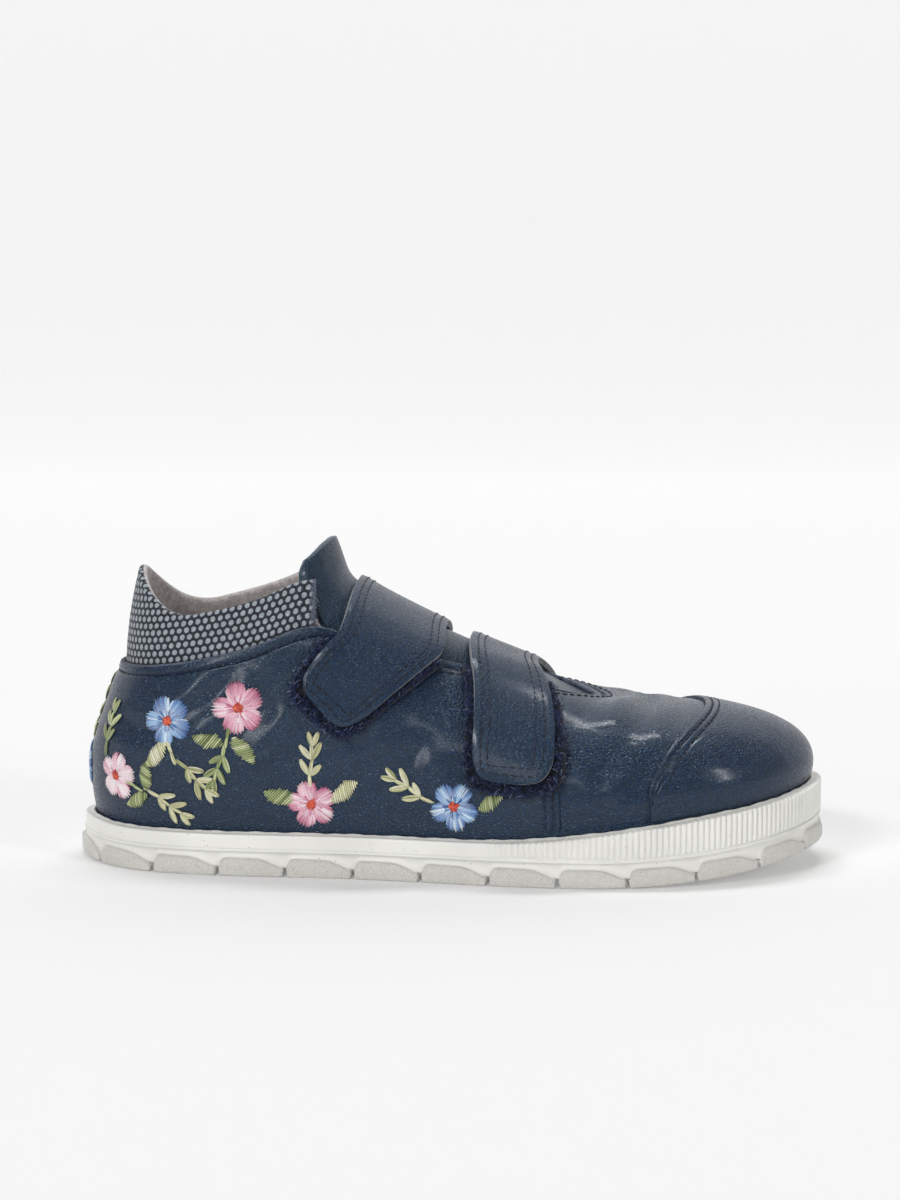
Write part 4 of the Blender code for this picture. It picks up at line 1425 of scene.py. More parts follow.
@dataclass
class Upper:
    """Hollow leather wall: quarters that overlap the vamp, folded edge, pale lining."""

    last: Last
    columns: int = 560
    vamp_step: float = 0.7 * MM
    vamp_seam_x: float = 29.0 * MM
    seam_rows: tuple[float, float] = (1.4 * MM, 3.6 * MM)
    collar_row: float = 2.0 * MM
    stitch: float = 2.0 * MM
    puckers: int = 25
    groove: float = 0.30 * MM
    step_width: float = 0.45 * MM
    furrow_half: float = 0.7 * MM
    pucker_half: float = 1.2 * MM
    collar_row_half: float = 0.9 * MM
    slackness: float = 0.16 * MM

    def __post_init__(self) -> None:
        """Places the creases and the seams."""
        self.creases = Creases(self.last)
        self.seams = [float(self.last.side_u(self.vamp_seam_x, side)) for side in Side]

    def behind_seam(self, u: Array) -> Array:
        """Distance along the outline behind the quarters' front edge; negative on the vamp."""
        first, last = self.seams
        return (np.abs(u - (first + last) / 2.0) - (last - first) / 2.0) * self.last.girth

    @staticmethod
    def free(t: Array) -> Array:
        """Share of the creases that the wall takes: none in the cup or at the edge."""
        return smoothstep(t, 0.14, 0.26) * smoothstep(-t, -1.0, -0.90)

    @staticmethod
    def slack(points: Array) -> Array:
        """Uneven waves a few centimetres long: two products of sines of x, y and z.

        Args:
            points: Points of the wall.

        Returns:
            Heights of the waves, from about -1.6 to 1.6.
        """
        x, y, z = np.moveaxis(points / MM, -1, 0)
        broad = np.sin(x * 0.21 + z * 0.13) * np.sin(z * 0.24 - x * 0.09 + y * 0.05 + 1.0)
        return broad + 0.6 * np.sin(x * 0.43 - z * 0.31 + 2.0) * np.sin(x * 0.12 + z * 0.47)

    def relief(self, u: Array, t: Array) -> Array:
        """Depth of the face below the wall: the vamp's step, sewn furrows, creases and a slight slackness.

        Args:
            u: Shares of the way round.
            t: Shares of the way up.

        Returns:
            Depths.
        """
        behind = self.behind_seam(u)
        start = smoothstep(t, self.last.cup_share, self.last.cup_share + 0.03)
        step = self.vamp_step * smoothstep(-behind, 0.0, self.step_width)
        rows = sum(bell(behind, row, self.furrow_half) for row in self.seam_rows)
        pucker = 0.5 + 0.5 * np.cos(t * 2.0 * np.pi * self.puckers)
        between = bell(behind, sum(self.seam_rows) / 2.0, self.pucker_half)
        seam = self.groove * (1.3 * rows - 0.8 * between * pucker)
        below = (1.0 - t) * np.linalg.norm(self.last.tangents(u, t)[1], axis=-1)
        pulled = 0.5 + 0.5 * np.cos(u * self.last.girth / self.stitch * 2.0 * np.pi)
        hollow = bell(below, self.collar_row, self.collar_row_half)
        furrow = self.groove * 1.3 * hollow * (1.0 + 0.25 * pulled)
        points = self.last.wall(u, t)
        folds = (self.creases.depth(points) + self.slackness * self.slack(points)) * self.free(t)
        return (step + seam) * start + furrow + folds

    def face(self, u: Array, t: Array, height: float = 0.0) -> Array:
        """Outer face of the leather with its relief, raised by this height."""
        u, t = np.broadcast_arrays(np.asarray(u, float), np.asarray(t, float))
        return self.last.wall(u, t) + self.last.normal(u, t) * (height - self.relief(u, t))[..., None]

    def shares_round(self) -> Array:
        """Shares u of the columns, closer together by the quarters' front edges.

        Returns:
            The shares in order.
        """
        even = np.linspace(0.0, 1.0, self.columns, endpoint=False)
        plain = even[np.abs(self.behind_seam(even)) >= 6.0 * MM]
        ranges = ((-6.0, -0.7, 8), (-0.5, 0.1, 5), (0.4, 6.0, 18))
        fine = np.concatenate([np.linspace(*one) for one in ranges]) * MM / self.last.girth
        return np.sort(np.concatenate([plain, self.seams[0] - fine, self.seams[1] + fine]))

    def build(self) -> None:
        """Face from the cup to the edge, a half-round fold, then the lining back down into the cup."""
        columns = self.shares_round()
        number = len(columns)
        low = np.array([0.0, 0.06, self.last.cup_share, 0.135])
        rises = np.concatenate([low, np.linspace(0.15, 0.90, 62), np.linspace(0.904, 1.0, 22)])
        u, t = np.meshgrid(columns, rises)
        face = self.face(u, t)
        at_edge = np.ones(number)
        normal = self.last.normal(columns, at_edge)
        up = unit(self.last.tangents(columns, at_edge)[1])
        half = self.last.leather_edge / 2.0
        turns = np.linspace(0.0, np.pi, 7)[1:-1, None, None]
        roll = face[-1] + half * (normal * (np.cos(turns) - 1.0) + up * np.sin(turns))
        back_u, back_t = np.meshgrid(columns, np.concatenate([np.linspace(1.0, 0.15, 30), low[2::-1]]))
        folds = self.creases.depth(self.last.wall(back_u, back_t)) * self.free(back_t)
        rows = np.concatenate([face, roll, self.last.lining(back_u, back_t, folds)])
        body = grid_faces(len(rows), number, wrap=True)
        first, final = np.arange(number), (len(rows) - 1) * number
        ahead = np.roll(first, -1)
        foot = np.stack([final + first, final + ahead, ahead, first], axis=-1)
        front = (len(rises) - 1) * number
        fold = front + (len(turns) + 1) * number
        # Painted highlight: a mask on the face of the places raised above the wall, such as crease ridges
        # and the puffs between the vamp seam's rows
        ridge_highlight = np.zeros(rows.shape[:2])
        ridge_highlight[: len(rises)] = 0.25 * smoothstep(-self.relief(u, t), 0.10 * MM, 0.6 * MM)
        draft = Draft()
        draft.add(rows, [(body[:front], 0), (body[front:fold], 1), (body[fold:], 2), (foot, 2)], mark=ridge_highlight)
        dark, pale = linear(40, 48, 64), linear(92, 102, 120)
        edge = Fleece(name="cut edge", dark=dark, pale=pale, depth=0.1 * MM, sheen=0.1)
        draft.build("upper_shell", [Leather(), edge, Fleece()], "leather", "upper")


@dataclass
class ToeCap:
    """Leather overlay on the front of the vamp, with a thin raw edge along its curved seam."""

    last: Last
    upper: Upper
    thickness: float = 0.9 * MM
    seam_top: float = 65.0 * MM
    seam_drop: float = 14.0 * MM
    seam_half: float = 33.0 * MM
    seam_rows: tuple[float, float] = (1.8 * MM, 3.6 * MM)
    furrow_half: float = 0.8 * MM
    furrow_depth: float = 0.28 * MM
    skive: float = 0.25 * MM
    start_share: float = 0.014
    columns: int = 200
    rows: int = 46
    edge_rows: int = 18

    @property
    def low(self) -> float:
        """Share of the wall at the cap's lower edge."""
        return self.last.cup_share + self.start_share

    def seam_share(self, u: Array) -> Array:
        """Where the wall passes under the seam's parabola, or the lower edge where it is behind it.

        Args:
            u: Shares of the way round.

        Returns:
            Shares of the way up.
        """
        t = np.linspace(self.low, 1.0, 400)
        points = self.last.wall(u[:, None], t[None, :])
        ahead = points[..., 0] - self.seam_top + self.seam_drop * (points[..., 1] / self.seam_half) ** 2
        first = np.clip(np.argmax(ahead < 0.0, axis=1), 1, None)
        row = np.arange(len(u))
        before, after = ahead[row, first - 1], ahead[row, first]
        share = np.clip(before / np.where(before == after, 1.0, before - after), 0.0, 1.0)
        crossing = t[first - 1] + share * (t[first] - t[first - 1])
        return np.where(ahead[:, 0] > 0.0, crossing, self.low)

    def seam(self) -> tuple[Array, Array]:
        """The cap's edge from foot to foot, even by its own length.

        Returns:
            Shares u and t along the edge.
        """
        ends = [float(self.last.side_u(self.seam_top - 2.0 * self.seam_drop, side)) for side in Side]
        u = np.linspace(*ends, 4000)
        t = self.seam_share(u)
        held = np.nonzero(t > self.low + 1e-4)[0]
        u, t = u[held[0] - 1 : held[-1] + 2], t[held[0] - 1 : held[-1] + 2]
        run = run_along(self.last.wall(u, t))
        even = np.linspace(0.0, run[-1], self.columns)
        return np.interp(even, run, u), np.interp(even, run, t)

    def face(self, u: Array, t: Array, height: Array | float) -> Array:
        """Points this far above the vamp."""
        above = np.broadcast_to(height - self.upper.vamp_step, t.shape)
        return self.last.wall(u, t) + self.last.normal(u, t) * above[..., None]

    def build(self) -> None:
        """Sheet between the cup's rim and the seam, rounded down at its edges."""
        columns, tops = self.seam()
        share = np.append(np.linspace(0.0, 0.9, self.rows), np.linspace(0.905, 1.0, self.edge_rows))
        t = self.low + (tops - self.low) * share[:, None]
        u = np.broadcast_to(columns, t.shape)
        ahead = (tops - t) * np.linalg.norm(self.last.tangents(u, t)[1], axis=-1)
        furrows = sum(bell(ahead, row, self.furrow_half) for row in self.seam_rows)
        skive = self.skive * (1.0 - smoothstep(ahead, 0.0, self.furrow_half))
        height = self.last.gap + self.thickness - self.furrow_depth * furrows - skive
        # Painted highlight: a mask along the puffed strip between the cap's two seam rows
        ridge_highlight = 0.5 * bell(ahead, sum(self.seam_rows) / 2.0, self.furrow_half)
        draft = Draft()
        draft.sheet(self.face(u, t, height), self.face(u, t, self.last.gap), mark=ridge_highlight)
        dark, pale = linear(36, 44, 60), linear(84, 94, 112)
        edge = Fleece(name="cap edge", dark=dark, pale=pale, depth=0.08 * MM, sheen=0.1)
        finishes = [Leather(name="cap leather"), edge, Fleece(name="cap back")]
        draft.build("toe_overlay", finishes, "cap_leather", "toe_cap", sharp=50.0)


def stitches(
    path: Array, normals: Array, pitch: float, length: float, steps: int = 6
) -> tuple[Array, Array]:
    """Cuts a line on a surface into stitches: short arched paths one pitch apart.

    Args:
        path: Points of the line.
        normals: Unit normals under the line.
        pitch: Distance from one stitch to the next.
        length: Length of a stitch.
        steps: Points of each stitch.

    Returns:
        Paths and normals of the stitches.
    """
    run = run_along(path)
    number = int(run[-1] / pitch)
    place = (np.arange(number)[:, None] + 0.5) * run[-1] / number + np.linspace(-0.5, 0.5, steps) * length
    both = np.concatenate([path, normals], axis=1)
    both = np.stack([np.interp(place, run, column) for column in both.T], axis=-1)
    ups = unit(both[..., 3:])
    arch = np.sin(np.pi * np.linspace(0.0, 1.0, steps)) ** 0.6
    return both[..., :3] + ups * (arch * 0.20 * MM - 0.16 * MM)[None, :, None], ups


@dataclass
class Cuff:
    """Padded collar of dotted textile, tucked inside the leather's edge, with raw front ends."""

    last: Last
    thickness: float = 2.4 * MM
    tuck: float = 0.80
    height: float = 11.0 * MM
    tab_height: float = 24.0 * MM
    tab_half: float = 42.0 * MM
    front_x: float = -33.0 * MM
    lean: float = 0.14
    swell: float = 0.55 * MM
    ripple: float = 0.12 * MM
    ripple_length: float = 7.0 * MM
    columns: int = 300
    tuck_rows: int = 12
    end_row: float = 3.6 * MM
    end_pitch: float = 2.0 * MM
    end_stitch: float = 1.6 * MM
    end_thread: float = 0.2 * MM
    loose_threads: int = 70

    def outside(self) -> tuple[Array, Array]:
        """Outer face of the cuff: a tucked band, then straight lines up that lean in and swell.

        Returns:
            The grid, and its own map in millimetres along the collar and up.
        """
        end = float(self.last.edge_u(self.front_x, Side.OUTER))
        start = float(self.last.edge_u(self.front_x, Side.INNER)) - 1.0
        u = np.linspace(start, end, self.columns)
        low = self.last.lining(*np.meshgrid(u, np.linspace(self.tuck, 1.0, self.tuck_rows)), self.last.gap)
        way = u * self.last.girth
        tab = smoothstep(-np.abs(way), -self.tab_half, 0.0)
        height = self.height + (self.tab_height - self.height) * tab
        lean = np.column_stack([-self.last.outward(u) * self.lean, np.ones(len(u))])
        share = np.linspace(0.0, 1.0, 31)[1:, None]
        swell = self.swell * np.sin(np.pi * np.clip(share * 1.05, 0.0, 1.0)) ** 0.8
        wave = np.sin(way / self.ripple_length + 0.8 * np.sin(u * 60.0)) * np.sin(np.pi * share)
        away = np.column_stack([self.last.outward(u), np.zeros(len(u))])
        high = low[-1] + lean * height[:, None] * share[..., None]
        grid = np.concatenate([low, high + away * (swell + self.ripple * wave)[..., None]])
        rise = np.cumsum(np.linalg.norm(np.diff(grid, axis=0, prepend=grid[:1]), axis=2), axis=0)
        return grid, np.stack(np.broadcast_arrays(run_along(low[-1]), rise), axis=-1) / MM

    def fray(self, draft: Draft, outer: Array) -> None:
        """Adds a row of dark stitches near each raw end and loose threads that curl out of it.

        Args:
            draft: Piece that takes the threads.
            outer: Grid of the outer face.
        """
        rng = np.random.default_rng(31)
        count = self.loose_threads
        normal, upward = grid_normals(outer), np.gradient(outer, axis=0)
        greys = ((36, 46, 66), (120, 130, 148), (176, 182, 192), (20, 26, 40))
        shades = np.array([linear(*grey) for grey in greys])
        share = np.linspace(0.0, 1.0, 6)[None, :, None]
        spacing = np.linalg.norm(np.diff(outer[20], axis=0), axis=1).mean()
        for end, inward in ((0, 1), (-1, -1)):
            column = end + inward * int(round(self.end_row / spacing))
            line, outward = outer[10:, column], normal[10:, column]
            paths, ups = stitches(line, outward, self.end_pitch, self.end_stitch)
            paths = paths + ups * 0.05 * MM
            draft.tubes(paths, ups, self.end_thread, self.end_thread, shades[:1], slot=3)
            row = rng.integers(self.tuck_rows - 1, len(outer), count)
            ahead = unit(outer[row, end] - outer[row, end + inward])
            up, away = unit(upward[row, end]), normal[row, end]
            base = outer[row, end] - away * rng.random((count, 1)) * self.thickness - ahead * 0.3 * MM
            swing, toss, curl_up, curl_out = (rng.normal(size=(count, 1)) for _ in range(4))
            sway = ahead + 0.7 * swing * up + 0.35 * toss * away
            curl = 0.8 * curl_up * up + 0.5 * curl_out * away
            reach = (0.5 + 1.3 * rng.random((count, 1)) ** 2) * MM
            bent = (curl * reach)[:, None] * share**2 * 0.8
            paths = base[:, None] + (unit(sway) * reach)[:, None] * share + bent
            thin = (0.045 + 0.04 * rng.random(count)) * MM
            ups = np.broadcast_to(away[:, None], paths.shape)
            draft.tubes(paths, ups, thin, thin, shades[rng.integers(0, 4, count)], slot=3)

    def build(self) -> None:
        """Outer face, a half-round top and the lining, closed at the tuck and at both raw ends."""
        outer, uv = self.outside()
        normal = grid_normals(outer)
        up = unit(np.gradient(outer, axis=0)[-1])
        half = self.thickness / 2.0
        turns = np.linspace(0.0, np.pi, 9)[1:-1, None, None]
        roll = outer[-1] + half * (normal[-1] * (np.cos(turns) - 1.0) + up * np.sin(turns))
        rows = np.concatenate([outer, roll, (outer - normal * self.thickness)[::-1]])
        roll_uv = uv[-1] + turns * np.array([0.0, half / MM])
        count, number = rows.shape[:2]
        index = np.arange(count * number).reshape(count, number)
        body = grid_faces(count, number)
        outside = (len(outer) + len(turns) // 2) * (number - 1)
        foot = np.stack([index[-1, :-1], index[-1, 1:], index[0, 1:], index[0, :-1]], axis=-1)
        step = np.arange((count - 1) // 2)
        first, last = (
            np.stack([side[step], side[step + 1], side[-2 - step], side[-1 - step]], axis=-1)
            for side in (index[:, 0], index[:, -1])
        )
        caps = [(first, 1), (last[:, [0, 3, 2, 1]], 1)]
        faces = [(body[:outside], 0), (body[outside:], 2), (foot, 2), *caps]
        from_end = np.minimum(uv[0, :, 0], uv[0, -1, 0] - uv[0, :, 0])
        ragged = 1.15 + 0.3 * np.sin(np.arange(count) * 1.9) + 0.2 * np.sin(np.arange(count) * 0.7)
        mark = smoothstep(ragged[:, None] - from_end[None, :], -0.15, 0.15)
        draft = Draft()
        draft.add(rows, faces, uv=np.concatenate([uv, roll_uv, uv[::-1]]), mark=mark)
        self.fray(draft, outer)
        dark, pale = linear(60, 70, 90), linear(128, 138, 154)
        raw = Fleece(name="raw end", dark=dark, pale=pale, fibre=2.4, depth=0.3 * MM)
        thread = Thread(name="cuff thread", roughness=0.6, sheen=0.2)
        finishes = [DottedTextile(), raw, Fleece(name="cuff lining"), thread]
        piece = draft.build("collar_cuff", finishes, "dotted_textile", "cuff", sharp=60.0)


@dataclass
class Tongue:
    """Soft leather tongue with a pale fleecy back, tucked under the vamp and the quarters."""

    last: Last
    thickness: float = 2.8 * MM
    wing_shares: tuple[float, ...] = (0.84, 0.84, 0.84, 0.84, 0.86, 0.92, 0.985)
    stations: tuple[float, ...] = (25.0, 17.0, 8.0, -1.0, -10.0, -19.0, -27.5)
    wing_columns: int = 4
    crown_drop: float = 0.3 * MM
    edge_drop: float = 2.1 * MM
    round_top: float = 0.9 * MM
    round_back: float = 0.7 * MM
    rows: int = 130
    columns: int = 110

    def under_vamp(self, x: Array, y: Array) -> Array:
        """Height of the vamp's lining side, a gap below it.

        Args:
            x: Places along the shoe.
            y: Places across the shoe.

        Returns:
            Heights.
        """
        ends = [float(self.last.edge_u(self.stations[0] * MM, side)) for side in Side]
        u, t = np.meshgrid(np.linspace(*ends, 240), np.linspace(0.6, 1.0, 120))
        points = self.last.lining(u, t, 1.5 * self.last.gap).reshape(-1, 3)
        away = (points[:, 0] - x[..., None]) ** 2 + (points[:, 1] - y[..., None]) ** 2
        return points[np.argmin(away, axis=-1), 2]

    def stations_grid(self) -> Array:
        """Coarse grid of the tongue's face from under the vamp, over the throat, to its top.

        Returns:
            The grid of points.
        """
        wings = np.array(self.wing_shares)[:, None]
        outer = wings + (1.0 - wings) * np.linspace(0.0, 1.0, self.wing_columns)
        across = np.linspace(0.0, 1.0, 9)[1:-1]
        columns = 2 * self.wing_columns + len(across)
        spread = np.linspace(-1.0, 1.0, columns)
        x = np.repeat(np.array(self.stations)[:, None] * MM, columns, axis=1)
        grid = self.last.saddle(x, outer, across, outer[:, ::-1])
        share = np.concatenate([np.zeros(self.wing_columns), across, np.ones(self.wing_columns)])
        crown = (4.0 * share * (1.0 - share)) ** 0.5
        drop = self.edge_drop + (self.crown_drop - self.edge_drop) * crown
        grid = grid - upward_normals(grid) * drop[:, None]
        front_x, front_half = np.array(TONGUE_FRONT).T[:, :, None] * MM
        front_y = grid[0, columns // 2, 1] + front_half * spread
        front_x = np.broadcast_to(front_x, front_y.shape)
        front = np.stack([front_x, front_y, self.under_vamp(front_x, front_y)], axis=-1)
        top_z, side_z, top_x, top_half, top_back = np.array(TONGUE_TOP).T[:, :, None] * MM
        ridge = grid[-1, columns // 2, 1]
        reach = grid[-1, :, 1] - ridge
        ease = np.linspace(0.3, 1.0, len(top_z))[:, None]
        fan = ease * spread + (1.0 - ease) * reach / np.abs(reach).max()
        arch = np.abs(fan) ** 2.2
        height = top_z - (top_z - side_z) * arch
        top = np.stack([top_x - top_back * arch, ridge + top_half * fan, height], axis=-1)
        return np.concatenate([front, grid, top])

    def build(self) -> None:
        """Fine smooth sheet through the stations, its edges rounded."""
        grid = relax(relax(refine(self.stations_grid(), self.rows, self.columns), 1, 40), 0, 60)
        normal = grid_normals(grid)
        row, column = np.meshgrid(np.arange(self.rows), np.arange(self.columns), indexing="ij")
        inside = np.minimum(np.minimum(column, self.columns - 1 - column) * 0.8, self.rows - 1 - row)
        edge = (1.0 - smoothstep(inside.astype(float), 0.0, 4.0)) ** 2
        top = grid - normal * (self.round_top * edge)[..., None]
        back = grid - normal * (self.thickness - self.round_back * edge)[..., None]
        draft = Draft()
        draft.sheet(top, back)
        # Tongue leather: painted shade between the grain's pebbles and painted glint on their tops
        shaded_valley, glint_crest = linear(12, 26, 44), linear(26, 50, 74)
        leather = Leather(name="tongue leather", shaded_valley=shaded_valley, glint_crest=glint_crest, roughness=0.38)
        dark, pale = linear(34, 58, 74), linear(66, 94, 110)
        cut = Fleece(name="tongue edge", dark=dark, pale=pale, depth=0.1 * MM)
        finishes = [leather, cut, Fleece(name="tongue lining")]
        piece = draft.build("soft_tongue", finishes, "tongue_leather", "tongue", sharp=60.0)


@dataclass
class Strap:
    """Leather strap over the throat, sewn to the inner side and closed on a pile patch on the outer."""

    last: Last
    name: str
    front: float
    back: float
    tip_share: float
    sewn_share: float
    drift_back: float
    slant: float
    thickness: float = 1.7 * MM
    clearance: float = 0.42 * MM
    patch_thickness: float = 1.2 * MM
    patch_margin: float = 1.8 * MM
    edge_round: float = 0.22 * MM
    fibre: float = 0.075 * MM
    tip_length: float = 0.17
    tip_power: float = 2.6
    tip_flat: float = 0.42
    rows: int = 46
    loops: int = 1200
    border_share: float = 0.86

    @property
    def drift(self) -> float:
        """Share of the outline by which the sides lead back for each share of the wall."""
        return self.drift_back / self.last.girth / (1.0 - self.tip_share)

    def tip(self, shares: Array) -> Array:
        """Share of the full width near the tip, whose end is a superellipse.

        Args:
            shares: Shares of the wall along the strap.

        Returns:
            Shares of the width.
        """
        short = 1.0 - np.clip((shares - self.tip_share) / self.tip_length, 0.0, 1.0)
        rounded = (1.0 - short**self.tip_power) ** (1.0 / self.tip_power)
        return self.tip_flat + (1.0 - self.tip_flat) * rounded

    def slanted(self, shares: Array, breadth: Array) -> Array:
        """Shares of the wall along the strap, which ends higher towards its back."""
        return 1.0 - (1.0 - shares) * (1.0 - self.slant * (0.5 - breadth))

    def edge_x(self, breadth: Array, margin: float = 0.0) -> Array:
        """Places along the throat's edge at these shares of the width, with a margin on both sides."""
        return (self.front + self.back) / 2.0 + (self.front - self.back + 2.0 * margin) * breadth

    def ground(self) -> Array:
        """Grid of the surface under the strap, from the tip over the instep to the sewn end.

        Returns:
            The grid of points.
        """
        rounded = self.tip_share + np.linspace(0.0, 1.0, 26) ** 2 * self.tip_length
        tips = np.append(rounded, np.linspace(self.tip_share + self.tip_length, 1.0, 40)[1:])
        across = np.linspace(0.0, 1.0, 62)[1:-1]
        sewn = np.linspace(1.0, self.sewn_share, 40)
        narrow = np.append(self.tip(tips), np.ones(len(across) + len(sewn)))
        breadth = np.linspace(-0.5, 0.5, self.rows)[:, None]
        outer, inner = self.slanted(tips, breadth * self.tip(tips)), self.slanted(sewn, breadth)
        return self.last.saddle(self.edge_x(breadth * narrow), outer, across, inner, self.drift)

    def surface(self) -> tuple[Array, Array]:
        """Back of the strap, which rises over the patch and then lies close to the wall.

        Returns:
            The grid of points and its outward normals.
        """
        grid = self.ground()
        normal = upward_normals(grid)
        over = smoothstep(-np.linspace(0.0, 1.0, grid.shape[1]), -0.52, -0.38)
        height = self.clearance + (self.patch_thickness + self.last.gap) * over
        return relax(grid + normal * height[None, :, None], 1, 30), unit(relax(normal, 1, 30))

    def build(self) -> None:
        """Closed sheet with a raw cut edge."""
        back, normal = self.surface()
        row = np.arange(self.rows)[:, None]
        edge = 1.0 - smoothstep(np.minimum(row, self.rows - 1 - row).astype(float), 0.0, 2.2)
        top = back + normal * (self.thickness - self.edge_round * edge)[..., None]
        draft = Draft()
        draft.sheet(top[::-1], back[::-1])
        leather = Leather(name="strap leather " + self.name, roughness=0.32)
        dark, pale = linear(84, 90, 98), linear(146, 150, 154)
        cut = Fleece(name="strap edge " + self.name, dark=dark, pale=pale, fibre=2.6, depth=0.25 * MM)
        finishes = [leather, cut, Fleece(name="strap back " + self.name)]
        node = "strap_" + self.name
        draft.build("closing_" + node, finishes, "strap_leather", node, sharp=50.0)

    def patch(self) -> tuple[Array, Array]:
        """Places of the pile patch on the outer side.

        Returns:
            Shares u and t.
        """
        shares = np.linspace(self.tip_share - 0.05, 0.955, 60)[:, None]
        breadth = np.linspace(-0.5, 0.5, 40) * self.tip(np.linspace(self.tip_share, 1.0, 60))[:, None]
        t = self.slanted(shares, breadth)
        u = self.last.edge_u(self.edge_x(breadth, self.patch_margin), Side.OUTER) - self.drift * (1.0 - t)
        return u, t

    def pile(self, draft: Draft, ground: Array, normal: Array, seed: int) -> None:
        """Adds curled fibres: nearly closed rings with some twist, most of them along the free border.

        Args:
            draft: Piece that takes the fibres.
            ground: Grid of the patch's face.
            normal: Normals of the grid.
            seed: Seed of the random draws.
        """
        rng = np.random.default_rng(seed)
        count = self.loops
        at_border = rng.random(count) < self.border_share
        pick = rng.random((count, 2))
        border = np.where(at_border, rng.integers(0, 3, count), -1)
        depth = rng.random(count) * 0.13 - 0.01
        row = np.where(border == 0, depth, pick[:, 0])
        column = np.where(border == 1, depth * 0.8, np.where(border == 2, 1.0 - depth * 0.8, pick[:, 1]))
        sizes = np.array(ground.shape[:2]) - 1
        place = tuple(np.clip((np.stack([row, column]) * sizes[:, None]).astype(int), 0, sizes[:, None]))
        start, away = ground[place][:, None], normal[place][:, None]
        side = unit(np.cross(away, rng.normal(size=(count, 3))[:, None]))
        turn = np.linspace(-0.35 * np.pi, 1.45 * np.pi, 9)[:, None]
        radius = ((0.38 + 0.42 * rng.random(count)) * MM)[:, None, None]
        twist = np.cross(away, side) * np.linspace(-0.5, 0.5, 9)[:, None] * 0.9
        paths = start + radius * (np.cos(turn) * side + (np.sin(turn) + 0.8) * away + twist)
        blues = ((20, 36, 80), (42, 66, 118), (8, 14, 34), (124, 138, 170))
        shade = rng.choice(4, size=count, p=(0.42, 0.28, 0.22, 0.08))
        shades = np.array([linear(*blue) for blue in blues])[shade]
        draft.tubes(paths, unit(away * 0.2 + twist + 1e-6), self.fibre, self.fibre, shades, slot=3)

    def build_patch(self, seed: int) -> None:
        """Ground sheet of the patch with its pile.

        Args:
            seed: Seed of the pile's random draws.
        """
        u, t = self.patch()
        normal = self.last.normal(u, t)
        back = self.last.wall(u, t) + normal * self.last.gap
        top = back + normal * self.patch_thickness * 0.8
        draft = Draft()
        draft.sheet(top, back)
        self.pile(draft, top, normal, seed)
        dark, pale = linear(8, 10, 18), linear(24, 30, 50)
        base = Fleece(name="pile ground " + self.name, dark=dark, pale=pale, fibre=2.2, depth=0.5 * MM)
        fibres = Thread(name="pile fibre " + self.name, roughness=0.6, sheen=0.05)
        finishes = [base, base, base, fibres]
        draft.build("pile_patch_" + self.name, finishes, "pile", "loop_patch_" + self.name)


